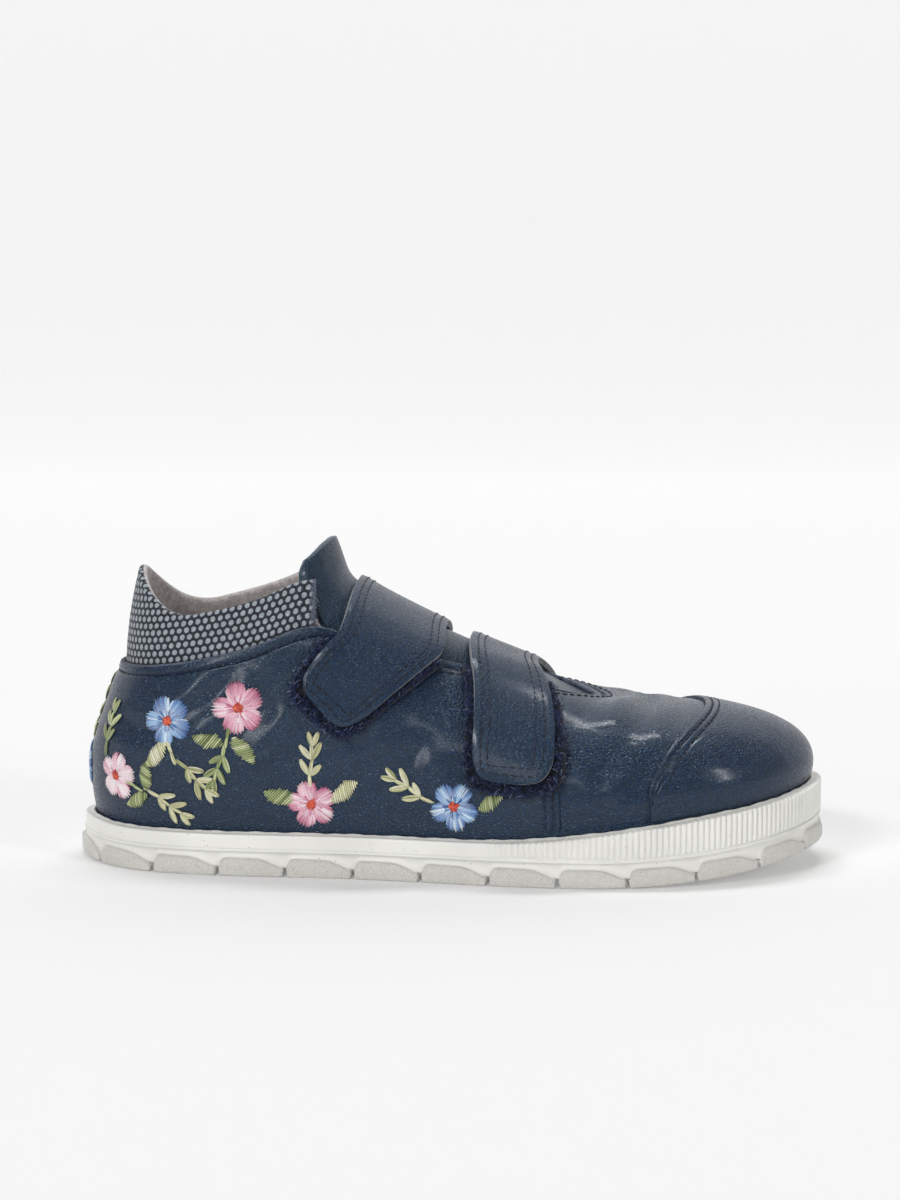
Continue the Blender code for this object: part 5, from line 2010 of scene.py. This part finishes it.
@dataclass
class SeamRows:
    """Rows of stitches along the collar, throat, vamp seam, toe cap and straps."""

    last: Last
    upper: Upper
    cap: ToeCap
    straps: list[Strap]
    pitch: float = 2.05 * MM
    length: float = 1.72 * MM
    half: float = 0.23 * MM
    high: float = 0.20 * MM
    throat_start: float = -24.0 * MM
    throat_row: float = 4.0 * MM
    cap_sink: float = 0.12 * MM
    strap_rows: tuple[float, float] = (1.9 * MM, 3.7 * MM)

    def below_edge(self, u: Array, distance: float) -> tuple[Array, Array]:
        """Line on the leather this far below its edge.

        Args:
            u: Shares of the way round.
            distance: Distance from the edge.

        Returns:
            Points of the line and the normals under it.
        """
        up = self.last.tangents(u, np.full(u.shape, 0.97))[1]
        t = 1.0 - distance / np.linalg.norm(up, axis=-1)
        return self.upper.face(u, t, 0.05 * MM), self.last.normal(u, t)

    def lines(self) -> Lines:
        """Lines of all rows.

        Returns:
            Points and normals of each line.
        """
        throat = [float(self.last.edge_u(self.throat_start, side)) for side in Side]
        lines = [
            self.below_edge(np.linspace(0.0, 1.0, 1200), self.upper.collar_row),
            self.below_edge(np.linspace(*throat, 700), self.throat_row),
        ]
        t = np.linspace(0.15, 0.985, 300)
        for offset in self.upper.seam_rows:
            for side, seam in zip(Side, self.upper.seams):
                u = np.full(t.shape, seam + side.value * offset / self.last.girth)
                lines.append((self.upper.face(u, t, 0.04 * MM), self.last.normal(u, t)))
        columns, tops = self.cap.seam()
        ahead = unit(np.gradient(self.last.wall(columns, tops), axis=0))
        inward = np.cross(ahead, self.last.normal(columns, tops))
        for offset in self.cap.seam_rows:
            u, t = self.last.shifted(columns, tops, inward * offset)
            keep = t > self.last.cup_share + 0.03
            height = self.last.gap + self.cap.thickness - self.cap_sink
            lines.append((self.cap.face(u, t, height)[keep], self.last.normal(u, t)[keep]))
        return lines + [line for strap in self.straps for line in self.strap_lines(strap)]

    def strap_lines(self, strap: Strap) -> Lines:
        """Two closed rows on a strap, parallel to its edge.

        Args:
            strap: The strap.

        Returns:
            Points and normals of each line.
        """
        back, normal = strap.surface()
        both = np.concatenate([back + normal * strap.thickness, normal], axis=-1)
        rows, columns = both.shape[:2]
        run = run_along(both[rows // 2, :, :3])
        width = run_along(both[:, columns // 2, :3])[-1]
        lines = []
        for inset in self.strap_rows:
            first, last = np.searchsorted(run, [inset, run[-1] - inset])
            low, high = inset / width * (rows - 1), (1.0 - inset / width) * (rows - 1)
            start, end = self._row(both, low)[first:last], self._row(both, high)[first:last]
            crossing = both[int(round(low)) : int(round(high)) + 1]
            sewn = crossing[-2:0:-1, last - 1]
            line = np.concatenate([start[::-1], crossing[1:-1, first], end, sewn])
            lines.append((line[:, :3], line[:, 3:]))
        return lines

    @staticmethod
    def _row(grid: Array, place: float) -> Array:
        """Row of a grid at a place between two rows."""
        low, share = int(place), place % 1.0
        return grid[low] * (1.0 - share) + grid[min(low + 1, len(grid) - 1)] * share

    def build(self) -> None:
        """All stitches as one piece."""
        draft = Draft()
        rng = np.random.default_rng(5)
        shades = np.array([linear(6, 15, 40), linear(12, 27, 62), linear(3, 9, 26)])
        for path, normals in self.lines():
            paths, ups = stitches(path, normals, self.pitch, self.length)
            number = len(paths)
            half = self.half * (0.92 + 0.16 * rng.random(number))
            draft.tubes(paths, ups, half, self.high, shades[rng.integers(0, 3, number)])
        draft.build("seam_stitches", [Thread(name="seam thread", roughness=0.55, sheen=0.03)], "leather")


class Motif(Enum):
    """Kinds of thread work."""

    FLOWER = 0
    LEAF = 1
    SPRIG = 2
    STEM = 3


class Palette(Enum):
    """Colours of thread work: plain, pale, deep and near-white."""

    PINK = (linear(222, 140, 170), linear(244, 200, 214), linear(196, 88, 130), linear(252, 236, 242))
    BLUSH = (linear(244, 206, 218), linear(250, 228, 234), linear(206, 96, 142), linear(254, 246, 248))
    BLUE = (linear(74, 124, 190), linear(142, 186, 228), linear(28, 72, 142), linear(222, 234, 246))
    SAGE = (linear(158, 171, 114), linear(194, 202, 150), linear(112, 128, 74), linear(212, 216, 174))
    CREAM = (linear(214, 212, 166), linear(230, 228, 194), linear(172, 174, 120), linear(240, 238, 214))


# Motifs on both sides: places and sizes in millimetres, turn in degrees from the way to the toe
SIDE_MOTIFS = (
    # kind, x, z, turn, size, palette
    (Motif.STEM, -78.0, 21.2, 156.0, 6.0, Palette.SAGE),
    (Motif.LEAF, -77.0, 17.4, 205.0, 7.2, Palette.SAGE),
    (Motif.LEAF, -74.6, 24.0, 84.0, 7.4, Palette.SAGE),
    (Motif.SPRIG, -69.8, 17.2, -32.0, 11.5, Palette.CREAM),
    (Motif.SPRIG, -84.8, 33.6, 86.0, 12.0, Palette.SAGE),
    (Motif.FLOWER, -82.5, 23.2, 10.0, 6.1, Palette.BLUSH),
    (Motif.STEM, -67.6, 30.6, -70.0, 7.0, Palette.CREAM),
    (Motif.LEAF, -71.6, 29.6, -134.0, 8.2, Palette.CREAM),
    (Motif.SPRIG, -62.6, 24.6, -46.0, 11.5, Palette.CREAM),
    (Motif.FLOWER, -68.8, 38.2, 40.0, 6.3, Palette.BLUE),
    (Motif.STEM, -53.4, 34.4, -110.0, 6.0, Palette.SAGE),
    (Motif.LEAF, -49.4, 31.4, -58.0, 8.4, Palette.SAGE),
    (Motif.LEAF, -58.4, 33.6, 158.0, 7.8, Palette.SAGE),
    (Motif.SPRIG, -55.6, 28.2, -112.0, 10.5, Palette.SAGE),
    (Motif.FLOWER, -50.6, 41.8, 22.0, 6.7, Palette.PINK),
    (Motif.LEAF, -24.4, 21.6, 36.0, 8.6, Palette.CREAM),
    (Motif.LEAF, -40.4, 20.0, 158.0, 8.6, Palette.SAGE),
    (Motif.SPRIG, -32.4, 28.0, 82.0, 12.0, Palette.CREAM),
    (Motif.FLOWER, -32.4, 18.4, 30.0, 6.2, Palette.PINK),
    (Motif.LEAF, 12.6, 20.4, 30.0, 7.6, Palette.SAGE),
    (Motif.SPRIG, -6.8, 22.4, 152.0, 12.0, Palette.CREAM),
    (Motif.FLOWER, 3.4, 18.8, 55.0, 6.2, Palette.BLUE),
)

# Motifs on the middle of the heel, which belong to the outer side's piece
HEEL_MOTIFS = (
    # kind, x, z, turn, size, palette
    (Motif.SPRIG, -90.0, 38.0, 100.0, 13.0, Palette.SAGE),
    (Motif.LEAF, -91.5, 31.5, 40.0, 7.0, Palette.SAGE),
    (Motif.FLOWER, -93.0, 23.6, 25.0, 6.0, Palette.BLUE),
)


@dataclass
class Embroidery:
    """Common garden flowers, leaves and sprigs in satin stitch on one side of the upper."""

    last: Last
    upper: Upper
    side: Side
    seed: int
    steps: int = 7
    thread: float = 0.235 * MM
    high: float = 0.19 * MM
    petals: int = 5
    petal_threads: int = 18
    root_threads: int = 8
    heart_threads: int = 14
    leaf_pitch: float = 0.56
    limits: tuple[float, float] = (0.135, 0.995)

    def __post_init__(self) -> None:
        """Empty list of threads: origin, start, end, bend, height, width and colours of both ends."""
        self.rng = np.random.default_rng(self.seed)
        self.threads: list[tuple[Array, ...]] = []

    def add(self, origin: Array, start: Array, end: Array, bend: Array, sizes: tuple, tints: tuple) -> None:
        """Keeps threads, in metres to the right and up from the origin as seen from outside.

        Args:
            origin: Shares u and t of the wall at the motif's middle.
            start: Starts of the threads.
            end: Ends of the threads.
            bend: Shift of their middles.
            sizes: Height over the leather and half width.
            tints: Colours at both ends.
        """
        number = len(start)
        flat = [np.broadcast_to(value, (number, 2)) for value in (origin, start, end, bend)]
        plain = [np.broadcast_to(value, (number,)) for value in sizes]
        self.threads.append((*flat, *plain, *tints))

    def shades(self, palette: Palette, number: int, odds: tuple[float, ...]) -> Array:
        """Colours picked from a palette, a little uneven.

        Args:
            palette: The palette.
            number: How many colours.
            odds: Odds of its plain, pale, deep and near-white colour.

        Returns:
            Rows of colours.
        """
        colours = np.array(palette.value)[self.rng.choice(4, size=number, p=odds)]
        colours[:, :3] *= 0.88 + 0.24 * self.rng.random((number, 1))
        return np.clip(colours, 0.0, 1.0)

    def petal(self, origin: Array, middle: float, size: float, palette: Palette) -> None:
        """A fan of threads with a jagged, notched outline and colour streaks, then short ones at its root.

        Args:
            origin: Shares u and t of the wall at the flower's heart.
            middle: Direction of the petal.
            size: Reach of the petal.
            palette: Colours.
        """
        number = self.petal_threads
        spread = np.linspace(-1.0, 1.0, number)
        way, square = heading(middle + spread * 0.56), heading(middle + spread * 0.56 + np.pi / 2.0)
        notch = 0.03 * np.exp(-((spread / 0.12) ** 2))
        outline = 0.64 + 0.36 * np.sqrt(1.0 - 0.98 * spread**2) - notch
        jagged = 1.0 + 0.028 * (-1.0) ** np.arange(number) + self.rng.normal(0.0, 0.014, number)
        height = (0.46 - 0.14 * spread**2 + 0.06 * self.rng.random(number)) * MM
        wave = np.sin(spread * 2.6 + self.rng.random() * 6.0) + self.rng.normal(0.0, 0.55, number)
        tips = np.array(palette.value)[np.array([2, 0, 1, 3])[np.digitize(wave, [-0.85, 0.35, 1.15])]]
        tips[:, :3] *= 0.9 + 0.2 * self.rng.random((number, 1))
        roots = 0.40 * tips + 0.60 * np.array(palette.value[3])
        reach, bend = size * (outline * jagged)[:, None], square * (spread * 0.35 * MM)[:, None]
        self.add(origin, way * 0.9 * MM, way * reach, bend, (height, self.thread), (roots, tips))
        number = self.root_threads
        way = heading(middle + np.linspace(-0.8, 0.8, number) * 0.58 + self.rng.normal(0.0, 0.04, number))
        reach = size * (0.45 + 0.25 * self.rng.random((number, 1)))
        odds = ((0.2, 0.3, 0.2, 0.3), (0.3, 0.4, 0.1, 0.2))
        tints = tuple(self.shades(palette, number, row) for row in odds)
        self.add(origin, way * 0.8 * MM, way * reach, np.zeros(2), (0.56 * MM, self.thread * 0.9), tints)

    def flower(self, origin: Array, turn: float, size: float, palette: Palette) -> None:
        """Petals round a heart of crossing stitches.

        Args:
            origin: Shares u and t of the wall at its heart.
            turn: Direction of its first petal.
            size: Reach of its petals.
            palette: Colours.
        """
        for number in range(self.petals):
            middle = turn + number * 2.0 * np.pi / self.petals + self.rng.normal(0.0, 0.06)
            self.petal(origin, middle, size, palette)
        number = self.heart_threads
        way = heading(np.arange(number) / number * np.pi + self.rng.normal(0.0, 0.1, number))
        reach = (1.25 + 0.45 * self.rng.random((number, 1))) * MM
        shift = self.rng.normal(0.0, 0.16 * MM, (number, 2))
        reds = np.array([linear(226, 82, 50), linear(238, 116, 70), linear(190, 48, 36)])
        warm = reds[self.rng.integers(0, 3, number)]
        sizes = (0.80 * MM, self.thread)
        self.add(origin, shift - way * reach, shift + way * reach, np.zeros(2), sizes, (warm, warm))

    def leaf(self, origin: Array, turn: float, size: float, palette: Palette) -> None:
        """Thick slanting stitches across a pointed leaf, with ends that stand out like teeth.

        Args:
            origin: Shares u and t of the wall at its middle.
            turn: Direction of its tip.
            size: Length.
            palette: Colours.
        """
        number = int(round(size / MM, 6) / self.leaf_pitch)
        share = (np.arange(number) + 0.5) / number
        half = size * 0.25 * np.sin(np.pi * share**0.9) ** 0.75 * (1.0 + self.rng.normal(0.0, 0.09, number))
        along, across = heading(turn), heading(turn + np.pi / 2.0)
        spine = (share - 0.5)[:, None] * size * along
        wide = np.outer(half, across + 0.45 * along)
        tint = self.shades(palette, number, (0.50, 0.28, 0.17, 0.05))
        sizes = ((0.40 + 0.10 * self.rng.random(number)) * MM, self.thread * 1.12)
        self.add(origin, spine - wide, spine + wide, np.zeros(2), sizes, (tint, tint))

    def bundle(
        self,
        origin: Array,
        root: Array,
        angle: float,
        length: float,
        palette: Palette,
        swell: float = 0.10 * MM,
    ) -> None:
        """Four strands side by side that swell in the middle.

        Args:
            origin: Shares u and t of the wall at the motif's middle.
            root: Start of the bundle, from the origin.
            angle: Direction.
            length: Length.
            palette: Colours.
            swell: Shift of the outer strands' middles.
        """
        way, square = heading(angle), heading(angle + np.pi / 2.0)
        offset = np.linspace(-1.0, 1.0, 4)
        start = root + (np.outer(offset * 0.10, square) + np.outer(np.abs(offset) * 0.15, way)) * MM
        fan = np.outer(offset * 0.24, square) - np.outer(np.abs(offset) * 0.18, way)
        tint = self.shades(palette, 4, (0.40, 0.38, 0.17, 0.05))
        sizes = ((0.50 - 0.10 * offset**2) * MM, self.thread * 0.95)
        dark = tint * np.array([0.85, 0.85, 0.85, 1.0])
        end = root + way * length + fan * MM
        self.add(origin, start, end, np.outer(offset * swell, square), sizes, (dark, tint))

    def stem(self, origin: Array, turn: float, size: float, palette: Palette) -> None:
        """Two bundles end to end, of this turn, size and palette."""
        for share in (-0.5, -0.05):
            self.bundle(origin, heading(turn) * size * share, turn, size * 0.55, palette)

    def sprig(self, origin: Array, turn: float, size: float, palette: Palette) -> None:
        """Stem of bundles with plump leaves of strands in pairs and two at the tip.

        Args:
            origin: Shares u and t of the wall at its middle.
            turn: Direction of its tip.
            size: Length.
            palette: Colours.
        """
        along, across = heading(turn), heading(turn + np.pi / 2.0)
        stem = (
            # share along, share across, angle from the stem
            (-0.5, 0.0, 0.13),
            (-0.2, 0.04, -0.12),
            (0.12, 0.0, 0.08),
        )
        nodes = [(along * share + across * shift) * size for share, shift, _ in stem]
        for node, (_, _, tilt) in zip(nodes, stem):
            self.bundle(origin, node, turn + tilt, size * 0.34, palette)
        leaves = (
            # node, angle from the stem, share of the length
            (1, 0.66, 0.42),
            (1, -0.60, 0.36),
            (2, 0.70, 0.40),
            (2, -0.66, 0.42),
        )
        for index, tilt, share in leaves:
            angle = turn + tilt + self.rng.normal(0.0, 0.07)
            length = size * share * (0.92 + 0.16 * self.rng.random())
            self.bundle(origin, nodes[index], angle, length, palette, 0.42 * MM)
        tip = nodes[2] + along * size * 0.28
        for tilt in (-0.34, 0.32):
            self.bundle(origin, tip, turn + tilt, size * 0.34, palette, 0.36 * MM)

    def lay(self) -> tuple[Array, Array, Array, Array]:
        """Lays all threads on the leather.

        A place in the tangent plane at the origin goes to u and t through the wall's metric there.

        Returns:
            Paths of the threads, their normals, half widths and colours.
        """
        parts = (np.concatenate(part) for part in zip(*self.threads))
        origin, start, end, bend, height, width, root, tip = parts
        share = np.linspace(0.0, 1.0, self.steps)[None, :, None]
        flat = start[:, None] * (1.0 - share) + end[:, None] * share + bend[:, None] * np.sin(np.pi * share)
        along, up = self.last.tangents(origin[:, 0], origin[:, 1])
        right = unit(along)
        above = np.cross(unit(np.cross(along, up)), right)
        step = flat[..., 0:1] * right[:, None, :] + flat[..., 1:2] * above[:, None, :]
        u, t = self.last.shifted(origin[:, 0:1], origin[:, 1:2], step)
        t = np.clip(t, *self.limits)
        arch = 0.25 + 0.75 * np.sin(np.pi * share[..., 0]) ** 0.6
        normals = self.last.normal(u, t)
        paths = self.upper.face(u, t) + normals * (height[:, None] * arch)[..., None]
        return paths, normals, width, root[:, None] * (1.0 - share) + tip[:, None] * share

    def build(self) -> None:
        """Stitches every motif of this side, as one piece."""
        makers = {
            Motif.FLOWER: self.flower,
            Motif.LEAF: self.leaf,
            Motif.SPRIG: self.sprig,
            Motif.STEM: self.stem,
        }
        outer = self.side is Side.OUTER
        for kind, x, z, turn, size, palette in SIDE_MOTIFS + (HEEL_MOTIFS if outer else ()):
            origin = np.array(self.last.locate(x * MM, z * MM, self.side))
            makers[kind](origin, math.radians(turn if outer else 180.0 - turn), size * MM, palette)
        paths, normals, widths, tints = self.lay()
        draft = Draft()
        draft.tubes(paths, normals, widths, self.high, tints)
        side = self.side.name.lower()
        draft.build("thread_work_" + side, [Thread(name="satin thread " + side)], "leather")


@dataclass(frozen=True)
class Lamp:
    """Soft rectangular light at a place, aimed at the shoe: places and sizes in metres, power in watts."""

    name: str
    place: Triple
    size: tuple[float, float]
    power: float
    aim: Triple = (0.0, 0.0, 0.04)

    def light(self, points: Array, normals: Array) -> Array:
        """Light on a surface: power over pi, times both cosines, over the square of the distance.

        Args:
            points: Points of the surface.
            normals: Its unit normals.

        Returns:
            Light at each point, as the mean over a grid of places on the lamp.
        """
        ahead = unit(np.array(self.aim) - np.array(self.place))
        right = unit(np.cross(ahead, (0.0, 0.0, 1.0)))
        above = np.cross(right, ahead)
        steps = np.linspace(-0.4, 0.4, 5)
        total = np.zeros(points.shape[:-1])
        for across, up in np.stack(np.meshgrid(steps, steps), axis=-1).reshape(-1, 2):
            way = np.array(self.place) + right * self.size[0] * across + above * self.size[1] * up - points
            falls = np.clip(np.sum(unit(way) * normals, axis=-1), 0.0, 1.0)
            leaves = np.clip(-unit(way) @ ahead, 0.0, 1.0)
            total += falls * leaves / np.sum(way**2, axis=-1)
        return self.power / np.pi * total / len(steps) ** 2


@dataclass
class Studio:
    """Plain pale ground that sweeps up behind, soft lights and the camera at the photograph's angle."""

    azimuth: float = 4.0
    elevation: float = 7.0
    target: Triple = (0.0, 0.0, 0.066)
    lens: float = 85.0
    distance: float = 0.72
    fill: float = 0.08
    backdrop: float = 0.93
    tone: float = 0.735
    bounce: float = 0.055
    bounce_reach: tuple[float, float] = (0.0, 1.2)
    half_width: float = 8.0
    floor_rows: int = 90
    floor_end: float = 1.2
    sweep_radius: float = 0.8
    wall_heights: tuple[float, float] = (2.0, 3.5)
    lamps: tuple[Lamp, ...] = (
        Lamp("key", (-0.87, -1.61, 1.27), (0.59, 0.22), 15.5),
        Lamp("strip", (1.90, -1.40, 1.02), (0.20, 1.00), 14.0),
        Lamp("top", (-0.05, 0.30, 1.25), (0.80, 0.20), 8.0),
        Lamp("front", (-1.25, -1.92, 0.52), (0.19, 0.67), 6.7),
        Lamp("broad", (-0.45, -2.20, 1.05), (0.90, 0.50), 5.0),
    )

    def sweep(self) -> Array:
        """Profile of floor, quarter round and wall carried sideways.

        Returns:
            The grid of points.
        """
        turn = np.linspace(0.0, np.pi / 2.0, 24)[1:]
        floor = np.linspace(0.0, 1.0, self.floor_rows) ** 0.4
        floor = floor * (self.floor_end + self.half_width) - self.half_width
        wall = self.floor_end + self.sweep_radius
        run = np.concatenate([floor, self.floor_end + self.sweep_radius * np.sin(turn), [wall, wall]])
        curve = self.sweep_radius * (1.0 - np.cos(turn))
        rise = np.concatenate([np.zeros(self.floor_rows), curve, self.wall_heights])
        across = np.linspace(-1.0, 1.0, 181)
        across = self.half_width * across * np.abs(across)
        return np.stack(np.broadcast_arrays(across[None, :], run[:, None], rise[:, None]), axis=-1)

    def ground(self) -> None:
        """Lays the sweep, which glows where the lamps leave it dark."""
        grid = self.sweep()
        light = sum(lamp.light(grid, grid_normals(grid)) for lamp in self.lamps)
        paper = Paper()
        tone = self.tone - self.bounce * smoothstep(grid[..., 1], *self.bounce_reach)
        shade = np.minimum(paper.reflects, tone * np.pi / np.maximum(light, 1e-6))
        masks = {"shade": shade, "glow": np.clip(tone - shade / np.pi * light, 0.0, None)}
        mesh = bpy.data.meshes.new("studio_sweep")
        mesh.from_pydata(grid.reshape(-1, 3), [], grid_faces(*grid.shape[:2]))
        mesh.polygons.foreach_set("use_smooth", np.ones(len(mesh.polygons), bool))
        for name, mask in masks.items():
            layer = mesh.attributes.new(name, "FLOAT", "POINT")
            layer.data.foreach_set("value", mask.astype(np.float32).ravel())
        mesh.materials.append(paper.material())
        ground = bpy.data.objects.new("studio_sweep", mesh)
        bpy.context.scene.collection.objects.link(ground)

    @staticmethod
    def put(name: str, data: bpy.types.ID, place: Triple, at: Triple) -> bpy.types.Object:
        """Puts a lamp or camera into the scene, looking at a point.

        Args:
            name: Name of the object.
            data: Its light or camera data.
            place: Where it stands.
            at: The point that it looks at.

        Returns:
            The object.
        """
        thing = bpy.data.objects.new(name, data)
        thing.location = place
        thing.rotation_euler = (Vector(at) - Vector(place)).to_track_quat("-Z", "Y").to_euler()
        bpy.context.scene.collection.objects.link(thing)
        return thing

    def hang(self, lamp: Lamp) -> None:
        """Puts a lamp into the scene.

        Args:
            lamp: The lamp.
        """
        data = bpy.data.lights.new(lamp.name, "AREA")
        data.shape = "RECTANGLE"
        data.size, data.size_y = lamp.size
        data.energy = lamp.power
        self.put(lamp.name, data, lamp.place, lamp.aim)

    def camera(self) -> None:
        """Camera to the outer side, turned and raised by the photograph's angles."""
        turn, rise = math.radians(self.azimuth), math.radians(self.elevation)
        way = np.array([math.sin(turn) * math.cos(rise), -math.cos(turn) * math.cos(rise), math.sin(rise)])
        data = bpy.data.cameras.new("camera")
        data.lens = self.lens
        place = tuple(np.array(self.target) + way * self.distance)
        bpy.context.scene.camera = self.put("camera", data, place, self.target)

    def build(self) -> None:
        """Ground, world, lights, camera and plain colour management."""
        self.ground()
        world = bpy.data.worlds.new("studio")
        world.use_nodes = True
        graph = Graph(world.node_tree)
        background = world.node_tree.nodes["Background"]
        background.inputs["Color"].default_value = (1.0, 1.0, 1.0, 1.0)
        seen = graph.node("ShaderNodeLightPath").outputs["Is Camera Ray"]
        graph.feed(background.inputs["Strength"], graph.remap(seen, 0.0, 1.0, self.fill, self.backdrop))
        bpy.context.scene.world = world
        for lamp in self.lamps:
            self.hang(lamp)
        self.camera()
        bpy.context.scene.view_settings.view_transform = "Standard"


def main() -> None:
    """Builds every part of the shoe and the studio round it."""
    logging.basicConfig(level=logging.INFO, format="%(name)s %(message)s")
    last = Last()
    CupSole(last).build()
    Footbed(last).build()
    upper = Upper(last)
    upper.build()
    cap = ToeCap(last, upper)
    cap.build()
    Cuff(last).build()
    Tongue(last).build()
    straps = [
        Strap(
            last,
            "lower",
            front=23.0 * MM,
            back=5.5 * MM,
            tip_share=0.34,
            sewn_share=0.44,
            drift_back=4.0 * MM,
            slant=0.06,
        ),
        Strap(
            last,
            "upper",
            front=-1.0 * MM,
            back=-26.0 * MM,
            tip_share=0.52,
            sewn_share=0.50,
            drift_back=27.0 * MM,
            slant=0.48,
        ),
    ]
    for number, strap in enumerate(straps):
        strap.build()
        strap.build_patch(seed=number + 11)
    SeamRows(last, upper, cap, straps).build()
    for number, side in enumerate(Side):
        Embroidery(last, upper, side, seed=number + 21).build()
    Studio().build()


if __name__ == "__main__":
    main()
